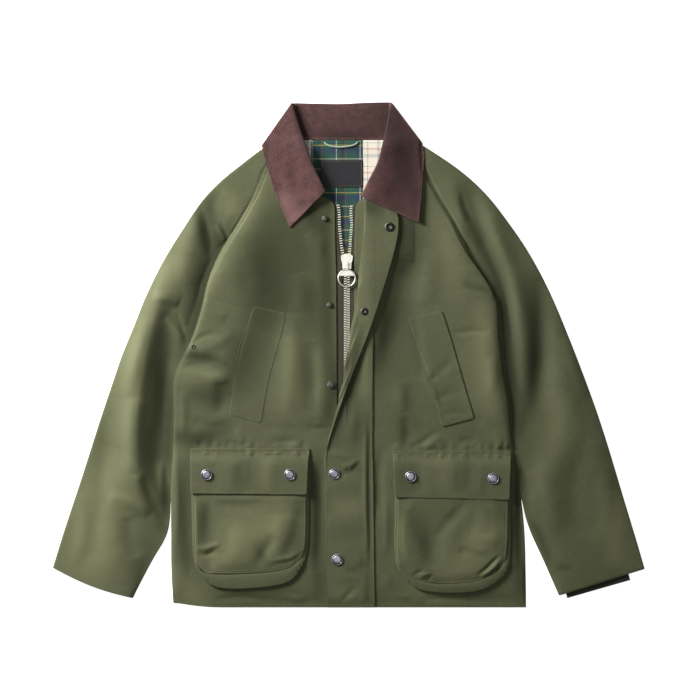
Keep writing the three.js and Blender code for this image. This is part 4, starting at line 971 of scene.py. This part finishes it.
cloth_pieces = [
    cloth("back_cloth", "back", 2, lift_back, WAXED),
    cloth("front_right_cloth", "front_right", 3, lift_front("right"), WAXED,
          painted_shading_table=PAINTED_SHADING_RIGHT_FRONT),
    cloth("front_left_cloth", "front_left", 3, lift_front("left"), WAXED,
          painted_shading_table=PAINTED_SHADING_LEFT_FRONT),
    cloth("sleeve_right_cloth", "sleeve_right", 3, lift_sleeve("right", FOLDS_RIGHT_SLEEVE, 6.3, 1.0),
          WAXED, painted_shading_table=PAINTED_SHADING_RIGHT_SLEEVE),
    cloth("sleeve_left_cloth", "sleeve_left", 2, lift_sleeve("left", FOLDS_LEFT_SLEEVE, 4.9, 2.0),
          WAXED, painted_shading_table=PAINTED_SHADING_LEFT_SLEEVE),
    cloth("storm_flap_cloth", "storm_flap", 3, lift_flap, WAXED,
          painted_shading_table=PAINTED_SHADING_STORM_FLAP),
    cloth("collar_cloth", "collar", 3, lift_collar, CORD,
          painted_shading_table=PAINTED_SHADING_COLLAR),
    cloth("lining_cloth", "lining", 2, lift_lining, CHECK),
    cloth("cuff_knit", "storm_cuff_left", 2, plain, KNIT),
]
for side in ("right", "left"):
    cloth_pieces += [
        cloth(f"welt_{side}_cloth", f"welt_{side}", 4, lift_welt, WAXED,
              painted_shading_table=PAINTED_SHADING_RIGHT_FRONT if side == "right" else PAINTED_SHADING_LEFT_FRONT),
        cloth(f"pocket_gusset_{side}_cloth", f"pocket_gusset_{side}", 3, lift_gusset, WAXED),
        cloth(f"pocket_flap_{side}_cloth", f"pocket_flap_{side}", 4, lift_pocket_flap, WAXED,
              painted_shading_table=PAINTED_SHADING_POCKETS),
        cloth(f"zip_tape_{side}_cloth", f"zip_tape_{side}", 2, plain, TAPE),
    ]

# Outlines of the bellows pockets' faces: left side down, bottom, right side down
POCKET_OUTLINES = {
    "right": {
        "left": [(-248, -176), (-247, -240), (-245, -316), (-240, -338), (-227, -350)],
        "bottom": [(-227, -350), (-166, -350), (-105, -344), (-83, -332)],
        "right": [(-68, -176), (-68, -240), (-70, -308), (-83, -332)],
        "folds": FOLDS_RIGHT_POCKET,
    },
    "left": {
        "left": [(79, -180), (78, -250), (78, -322), (90, -347), (120, -363)],
        "bottom": [(120, -363), (160, -366), (208, -361), (234, -347)],
        "right": [(254, -180), (255, -250), (251, -326), (234, -347)],
        "folds": FOLDS_LEFT_POCKET,
    },
}
POCKET_FACE_LOW = 9.6
WALL = 1.2


def pocket_face(side):
    """The face of a bellows pocket, puffed up a little below its flap."""
    outline = POCKET_OUTLINES[side]
    flat = panel(outline["left"], outline["bottom"], outline["right"], 100, 96)
    x, y = flat[:, :, 0].ravel(), flat[:, :, 1].ravel()
    rows, columns = flat.shape[:2]
    s, t = np.meshgrid(np.linspace(0, 1, columns), np.linspace(0, 1, rows))
    to_side = np.minimum(s, 1 - s).ravel() * 180
    to_bottom = (1 - t).ravel() * 180
    inside = smooth(np.minimum(to_side, to_bottom) / 26)
    free = smooth((-218 - y) / 16)
    lift = free * inside * (2.0 + fold_height(outline["folds"], x, y) + 0.5 * ripple(x, y, 30, 3.3))
    edge_folds = free * (1 - inside) * np.clip(to_bottom / 6, 0, 1) * np.clip(to_side / 6, 0, 1)
    lift += edge_folds * 0.5 * fold_height(outline["folds"], x, y)
    grid = np.dstack([flat, (POCKET_FACE_LOW + lift).reshape(rows, columns)])
    points, faces, ring = shell(grid, WALL)
    name = f"pocket_face_{side}_cloth"
    mesh = mesh_from(name, points, faces)
    facing_out(mesh)
    mark_rim_and_painted_shading(mesh, [Vector(p) * MM for p in ring], PAINTED_SHADING_POCKETS)
    return finish_cloth(name, mesh, f"pocket_face_{side}", WAXED)


cloth_pieces += [pocket_face("right"), pocket_face("left")]


def neck_label():
    """The label in the neck, left bare."""
    s, t = np.meshgrid(np.linspace(-44, 22, 45), np.linspace(311, 268, 30))
    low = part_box("neck_label")[0].z / MM
    lift = 0.35 * np.abs(ripple(s.ravel(), t.ravel(), 18, 5.1)).reshape(s.shape)
    points, faces, ring = shell(np.dstack([s, t, low + lift]), 0.7)
    mesh = mesh_from("neck_label_cloth", points, faces)
    facing_out(mesh)
    return finish_cloth("neck_label_cloth", mesh, "neck_label", LABEL)


cloth_pieces.append(neck_label())

# Wales of the collar run along its turned top
collar_mesh = bpy.data.objects["collar_cloth"].data
collar_points = points_of(collar_mesh)
store(collar_mesh, "wale", from_collar_fold(collar_points[:, 0], collar_points[:, 1]))

# Sewing

STITCH_LENGTH = 2.9
STITCH_PITCH = 3.6
STITCH_HALF = 0.32  # half the thread's width


def surface_of(pieces):
    """A tree that finds the highest cloth at a place."""
    points, faces = [], []
    for piece in pieces:
        start = len(points)
        points += [v.co.copy() for v in piece.data.vertices]
        faces += [[start + i for i in polygon.vertices] for polygon in piece.data.polygons]
    return BVHTree.FromPolygons(points, faces)


def stitch_points(tree, line):
    """Points and faces of a row of stitches that lie on the cloth along line."""
    places = curve_through(line, 1.0)
    steps = np.concatenate([[0], np.cumsum(np.hypot(*np.diff(places, axis=0).T))])
    count = max(int(steps[-1] / STITCH_PITCH), 1)
    points, faces = [], []
    for k in range(count):
        middle = (k + 0.5) * steps[-1] / count
        at = [np.interp(middle + d * STITCH_LENGTH, steps, places[:, 0]) for d in (-0.5, 0.5)]
        up = [np.interp(middle + d * STITCH_LENGTH, steps, places[:, 1]) for d in (-0.5, 0.5)]
        ends = []
        for x, y in zip(at, up):
            hit = tree.ray_cast(Vector((x * MM, y * MM, 0.05)), Vector((0, 0, -1)))
            if hit[0] is not None:
                ends.append(Vector(hit[0]) / MM)
        if len(ends) < 2 or abs(ends[0].z - ends[1].z) > 1.5:
            continue
        way = (ends[1] - ends[0]).normalized()
        side = way.cross(Vector((0, 0, 1))).normalized()
        start = len(points)
        for t, height, half in ((0, -0.15, 0.5), (0.25, 0.28, 1), (0.75, 0.28, 1), (1, -0.15, 0.5)):
            p = ends[0].lerp(ends[1], t)
            for across, up_share in ((-1, 0), (0, 1), (1, 0), (0, -1)):
                q = p + side * across * STITCH_HALF * half + Vector((0, 0, height + up_share * 0.22 * half))
                points.append(tuple(q))
        join_rings(faces, start, 4, 4)
    return points, faces


def sew(name, lines, material):
    points, faces = [], []
    for line in lines:
        more, more_faces = stitch_points(cloth_surface, line)
        faces += [tuple(len(points) + i for i in face) for face in more_faces]
        points += more
    mesh = mesh_from(name, points, faces)
    mesh.materials.append(material)
    piece = add_object(name, mesh)
    return piece


def beside(line, distance):
    """The same line, distance to its left."""
    p = curve_through(line, 4)
    way = np.gradient(p, axis=0)
    way /= np.hypot(way[:, 0], way[:, 1])[:, None]
    return p + distance * np.stack([-way[:, 1], way[:, 0]], axis=1)


cloth_surface = surface_of(cloth_pieces)

PLACKET = [(44, 190), (43, 88), (41, -20), (41, -137), (42, -297), (44, -402)]
HEM = [(-278, -398), (-150, -400), (0, -401), (150, -401), (280, -400)]
COTTON_LINES = [
    beside(PLACKET, -3.0),
    beside([(38, -60), (36, -200), (38, -400)], 3.0),
    [(-34, -402), (-35, -262), (-36.5, -200), (-36, -172)],
    beside([(-134, 297), (-151, 254), (-174, 213)], 3.0),
    beside([(120, 297), (144, 254), (168, 213), (194, 164)], -3.0),
    [(-250, -152.5), (-158, -152.5), (-66, -152.5)],
    [(-250, -159), (-158, -159), (-66, -159)],
    [(73, -156.5), (165, -156.5), (257, -156.5)],
    [(73, -163), (165, -163), (257, -163)],
    [(-250.5, -162), (-250.5, -219), (-160, -220.5), (-69.5, -220.5), (-67, -162)],
    [(72.5, -166), (75, -225.5), (165, -227.5), (255, -229.5), (257.5, -166)],
    [(-150, 74), (-176, 6), (-189, -93)],
    [(-100, 64), (-113, 3), (-126, -32), (-138, -107)],
    [(-186, -92), (-142, -106.5)],
    [(147, 67), (162, 24), (183, -51), (198, -99)],
    [(98, 55), (116, 2), (134, -37), (150, -112)],
    [(152, -112.5), (196, -99.5)],
    [(-242, -232), (-240, -314), (-233, -335), (-219, -345), (-166, -345), (-107, -339), (-86, -327),
     (-74, -306), (-73, -232)],
    [(84, -236), (83, -320), (94, -342), (122, -357), (160, -360), (206, -355), (230, -342), (245, -323),
     (249, -236)],
    HEM,
    [(300, -264), (313, -292), (336, -342), (340, -372)],
]
sew("stitching", COTTON_LINES, THREAD)
# The facing's stitching in near-black thread, a painted shadow line
sew("facing_stitching", [[(104, 208), (104, 176), (104, 150), (97, 149.5), (86, 150)],
                         [(103.3, 208), (103.3, 176), (103.3, 151), (97, 150.4), (86, 151)]],
    SHADOW_LINE_THREAD)

COLLAR_LINES = [
    [(-50, 250), (-94, 210), (-118, 268), (-135, 328)],
    [(24, 247), (108, 214), (112, 250), (114, 318)],
    [(-86, 398), (-10, 396), (63, 399)],
]
sew("collar_stitching", COLLAR_LINES, BROWN_THREAD)
sew("label_stitching", [[(-42.5, 309.5), (20.5, 309.5)], [(20.5, 309.5), (20.5, 269.5)],
                        [(20.5, 269.5), (-42.5, 269.5)], [(-42.5, 269.5), (-42.5, 309.5)]], THREAD)

# Metal

CHAIN_EDGE = np.array([
    (-366, -0.2, 0.2), (126, -0.2, 0.2), (140, -0.6, 0.6), (163, -4.6, 2), (184, -7.5, 3.6),
    (207, -9.5, 5.4), (230, -10, 4), (242, -12.5, 5.4),
], float)
TOOTH_PITCH = 3.8
TOOTH_SLANT = 0.13


def zip_teeth(side):
    """One side of the zip's chain: slanted stamped teeth, each reaching to the middle between two others."""
    outward, column = (-1, 1) if side == "right" else (1, 2)
    low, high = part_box(f"zip_chain_{side}")
    bottom, top = low.z / MM, high.z / MM
    points, faces = [], []
    shift = 0 if side == "right" else TOOTH_PITCH / 2
    for y in np.arange(-365 + shift, 241, TOOTH_PITCH):
        edge = ZIP_X + np.interp(y, CHAIN_EDGE[:, 0], CHAIN_EDGE[:, column])
        # The outline from the tape to the head: distance from the edge, then half the width in Y
        outline = [(4.6, 0.82), (2.2, 0.8), (1.2, 0.65), (0.5, 0.75), (0.1, 0.7), (0.02, 0.45)]
        ring = [(d, w) for d, w in outline] + [(d, -w) for d, w in reversed(outline)]
        start = len(points)
        for z, shrink in ((bottom, 0.4), (top - 0.9, 0.6), (top - 0.35, 1), (top, 0.85)):
            for d, w in ring:
                away = outward * (2 + (d - 2) * (0.9 + 0.1 * shrink))
                points.append((edge + away, y + away * TOOTH_SLANT + w * shrink, z))
        join_rings(faces, start, len(ring), 4)
    mesh = mesh_from(f"zip_teeth_{side}", points, faces)
    facing_out(mesh)
    mesh.materials.append(TEETH)
    piece = add_object(f"zip_teeth_{side}", mesh)
    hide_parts(f"zip_chain_{side}")


zip_teeth("right")
zip_teeth("left")


def turned(name, profile, centre, sides=48):
    """A turned form: profile is rows of radius and height, from the outside to the middle."""
    points, faces = [], []
    for radius, height in profile:
        for k in range(sides):
            angle = 2 * math.pi * k / sides
            points.append((centre[0] + radius * math.cos(angle), centre[1] + radius * math.sin(angle),
                           centre[2] + height))
    join_rings(faces, 0, sides, len(profile))
    mesh = mesh_from(name, points, faces)
    facing_out(mesh)
    smooth_shaded(mesh)
    return mesh


# Profiles from the outside to the middle, as shares of the radius and of the height
CAP_PROFILE = [(0.97, 0), (1, 0.16), (0.985, 0.36), (0.94, 0.54), (0.88, 0.6), (0.83, 0.56), (0.8, 0.46),
               (0.77, 0.44), (0.73, 0.46), (0.7, 0.58), (0.64, 0.7), (0.5, 0.76), (0.3, 0.8), (0.02, 0.82)]
STUD_PROFILE = [(0.98, 0), (1, 0.12), (0.92, 0.24), (0.62, 0.3), (0.46, 0.34), (0.42, 0.5), (0.46, 0.68),
                (0.52, 0.82), (0.48, 0.94), (0.34, 1), (0.2, 0.97), (0.02, 0.88)]
SOCKET_PROFILE = [(0.98, 0), (1, 0.3), (0.95, 0.55), (0.84, 0.66), (0.74, 0.9), (0.64, 1), (0.54, 0.92),
                  (0.47, 0.7), (0.44, 0.5), (0.4, 0.42), (0.02, 0.4)]
GROOVES = {"cap": (0.71, 0.84), "stud": (0.5, 0.66), "socket": (0.44, 0.78)}


def snap_part(node, kind, profile):
    """A press-stud part, with dark metal left in its groove as antique finishes have."""
    low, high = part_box(node)
    radius, height = (high.x - low.x) / 2 / MM, (high.z - low.z) / MM
    x, y = (low.x + high.x) / 2 / MM, (low.y + high.y) / 2 / MM
    mesh = turned(node + "_metal", [(r * radius, h * height) for r, h in profile], (x, y, low.z / MM))
    mesh.materials.append(SNAP if kind == "cap" else STUD)
    mesh.materials.append(PATINA)
    inner, outer = GROOVES[kind]
    for polygon in mesh.polygons:
        c = polygon.center / MM
        if inner * radius <= math.hypot(c.x - x, c.y - y) <= outer * radius and polygon.area < 30 * MM**2:
            polygon.material_index = 1
    piece = add_object(node + "_metal", mesh)
    hit = cloth_surface.ray_cast(Vector((x * MM, y * MM, 0.05)), Vector((0, 0, -1)))
    rise = hit[0].z - low.z if hit[0] is not None else 0
    if rise > 0:
        points = points_of(mesh)
        points[:, 2] += rise / MM
        move_points(mesh, points)
    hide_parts(node)


for node in sorted(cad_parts):
    if node.startswith("snap_cap"):
        snap_part(node, "cap", CAP_PROFILE)
    elif node.startswith("snap_stud"):
        snap_part(node, "stud", STUD_PROFILE)
    elif node.startswith("snap_socket"):
        snap_part(node, "socket", SOCKET_PROFILE)


def ring_mesh(name, centre, radius, wire, around=72, across=16):
    """A closed round wire."""
    points, faces = [], []
    for i in range(around):
        a = 2 * math.pi * i / around
        for j in range(across):
            b = 2 * math.pi * j / across
            r = radius + wire * math.cos(b)
            points.append((centre[0] + r * math.cos(a), centre[1] + r * math.sin(a),
                           centre[2] + wire * math.sin(b)))
    for i in range(around):
        for j in range(across):
            a, b = i * across + j, i * across + (j + 1) % across
            c, d = ((i + 1) % around) * across + (j + 1) % across, ((i + 1) % around) * across + j
            faces.append((a, b, c, d))
    return points, faces


def add_prism(points, faces, outline, low, high, bevel=0.25):
    """A plate with the given outline and softened edges, added to a mesh's points and faces."""
    centre = np.mean(outline, axis=0)
    start = len(points)
    for z, inset in ((low, bevel), (low + bevel, 0), (high - bevel, 0), (high, bevel)):
        for x, y in outline:
            away = np.array([x, y]) - centre
            shrink = 1 - inset / max(np.hypot(*away), 0.5)
            points.append((centre[0] + away[0] * shrink, centre[1] + away[1] * shrink, z))
    join_rings(faces, start, len(outline), 4)


def metal_piece(name, points, faces, node, body, material):
    mesh = mesh_from(name, points, faces)
    facing_out(mesh)
    mesh.materials.append(material)
    for polygon in mesh.polygons:
        polygon.use_smooth = len(polygon.vertices) == 4
    piece = add_object(name, mesh, body)
    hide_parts(node)
    return piece


PIVOT_Y = 144.5
PIVOT_Z = 9.1
RING_Y = PIVOT_Y - 22.5
RING_RADIUS = 13.6
WIRE = 1.35
PLATE_HALF = 0.9  # half the thickness of the pull's flat parts


def ring_pull():
    """The slider's ring pull: a round wire, filled in its upper part, on a neck with a bar."""
    points, faces = ring_mesh("ring", (ZIP_X, RING_Y, PIVOT_Z), RING_RADIUS, WIRE)
    arc = np.radians(np.linspace(16.2, 163.8, 30))
    segment = [(ZIP_X + RING_RADIUS * math.cos(a), RING_Y + RING_RADIUS * math.sin(a)) for a in arc]
    add_prism(points, faces, segment, PIVOT_Z - PLATE_HALF, PIVOT_Z + PLATE_HALF)
    top = PIVOT_Y - 0.55
    low = RING_Y + RING_RADIUS - 1
    for way in (-1, 1):
        xs = sorted((ZIP_X + way * 2.6, ZIP_X + way * 4.2))
        add_prism(points, faces, [(xs[0], low), (xs[1], low), (xs[1], top), (xs[0], top)],
                  PIVOT_Z - PLATE_HALF, PIVOT_Z + PLATE_HALF)
    add_prism(points, faces, [(ZIP_X - 3.9, low - 0.4), (ZIP_X + 3.9, low - 0.4),
                              (ZIP_X + 4.1, PIVOT_Y - 7.7), (ZIP_X - 4.1, PIVOT_Y - 7.7)],
              PIVOT_Z - PLATE_HALF, PIVOT_Z + PLATE_HALF)
    start, sides = len(points), 20
    for x in (ZIP_X - 4.2, ZIP_X + 4.2):
        for k in range(sides):
            a = 2 * math.pi * k / sides
            points.append((x, PIVOT_Y + 1.1 * math.cos(a), PIVOT_Z + 1.1 * math.sin(a)))
    join_rings(faces, start, sides, 2)
    metal_piece("ring_pull", points, faces, "zip_pull", "zip_pull", NICKEL)


ring_pull()

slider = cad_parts["zip_slider"]
slider.data.materials.clear()
slider.data.materials.append(NICKEL)
edges = slider.modifiers.new("tumbled edges", "BEVEL")
edges.width = 0.3 * MM
edges.segments = 2
edges.limit_method = "ANGLE"


def eyelet():
    low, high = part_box("eyelet_right")
    centre = ((low.x + high.x) / 2 / MM, (low.y + high.y) / 2 / MM, low.z / MM + 1.2)
    points, faces = ring_mesh("eyelet", centre, 2.6, 0.8, 36, 12)
    metal_piece("eyelet_metal", points, faces, "eyelet_right", "jacket", PATINA)


eyelet()


def hanger_loop():
    """The loop in the neck, a short braid sewn down at both ends."""
    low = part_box("hanger_loop")[0].z / MM + 1.3
    line = curve_through([(-39, 340), (-33, 335), (-20, 332), (-5, 332.5), (8, 335), (15, 340)], 1.2)
    points, faces, sides = [], [], 12
    way = np.gradient(line, axis=0)
    for i, (p, w) in enumerate(zip(line, way)):
        across = np.array([-w[1], w[0]]) / np.hypot(*w)
        swell = 1.3 + 0.1 * math.sin(i * 1.7)
        for k in range(sides):
            a = 2 * math.pi * k / sides
            q = p + across * swell * math.cos(a)
            points.append((q[0], q[1], low + swell * math.sin(a)))
    join_rings(faces, 0, sides, len(line))
    metal_piece("hanger_braid", points, faces, "hanger_loop", "jacket", BRAID)


hanger_loop()

# Studio

WORLD_GLOW = 0.08
SOFTBOX_PLACE = (-1.5, 1.0, 0.85)
SOFTBOX_POWER = 96
CEILING_POWER = 23
FLOOR_HALF = 4000  # millimetres


def studio():
    world = bpy.data.worlds.new("studio")
    scene.world = world
    world.use_nodes = True
    world.node_tree.nodes["Background"].inputs[0].default_value = (1, 1, 1, 1)
    world.node_tree.nodes["Background"].inputs[1].default_value = WORLD_GLOW

    softbox = bpy.data.lights.new("softbox", "AREA")
    softbox.shape = "DISK"
    softbox.size = 0.8
    softbox.energy = SOFTBOX_POWER
    key = bpy.data.objects.new("softbox", softbox)
    scene.collection.objects.link(key)
    key.location = SOFTBOX_PLACE
    key.rotation_mode = "QUATERNION"
    key.rotation_quaternion = (Vector((0, 0, 0)) - key.location).to_track_quat("-Z", "Y")

    ceiling = bpy.data.lights.new("ceiling", "AREA")
    ceiling.shape = "SQUARE"
    ceiling.size = 2.4
    ceiling.energy = CEILING_POWER
    fill = bpy.data.objects.new("ceiling", ceiling)
    scene.collection.objects.link(fill)
    fill.location = (0, 0, 3.4)

    corners = [(-FLOOR_HALF, -FLOOR_HALF, 0), (FLOOR_HALF, -FLOOR_HALF, 0), (FLOOR_HALF, FLOOR_HALF, 0),
               (-FLOOR_HALF, FLOOR_HALF, 0)]
    mesh = mesh_from("floor", corners, [(0, 1, 2, 3)])
    floor = bpy.data.objects.new("floor", mesh)
    scene.collection.objects.link(floor)
    m = new_material("white paper sweep")
    place = add_node(m, "TexCoord").outputs["Object"]
    grain = add_node(m, "TexNoise", Vector=place, Scale=60.0, Detail=3)
    base = mixed(m, ranged(m, grain.outputs[0], 0.0, 1.0, to_high=0.04), colour("#f6f6f4"),
                 colour("#eaeae8"))
    finish_material(m, Base_Color=base, Roughness=0.9, Emission_Color=colour("#ffffff"),
                    Emission_Strength=0.85)
    mesh.materials.append(m)
    scene.view_settings.view_transform = "Standard"


studio()
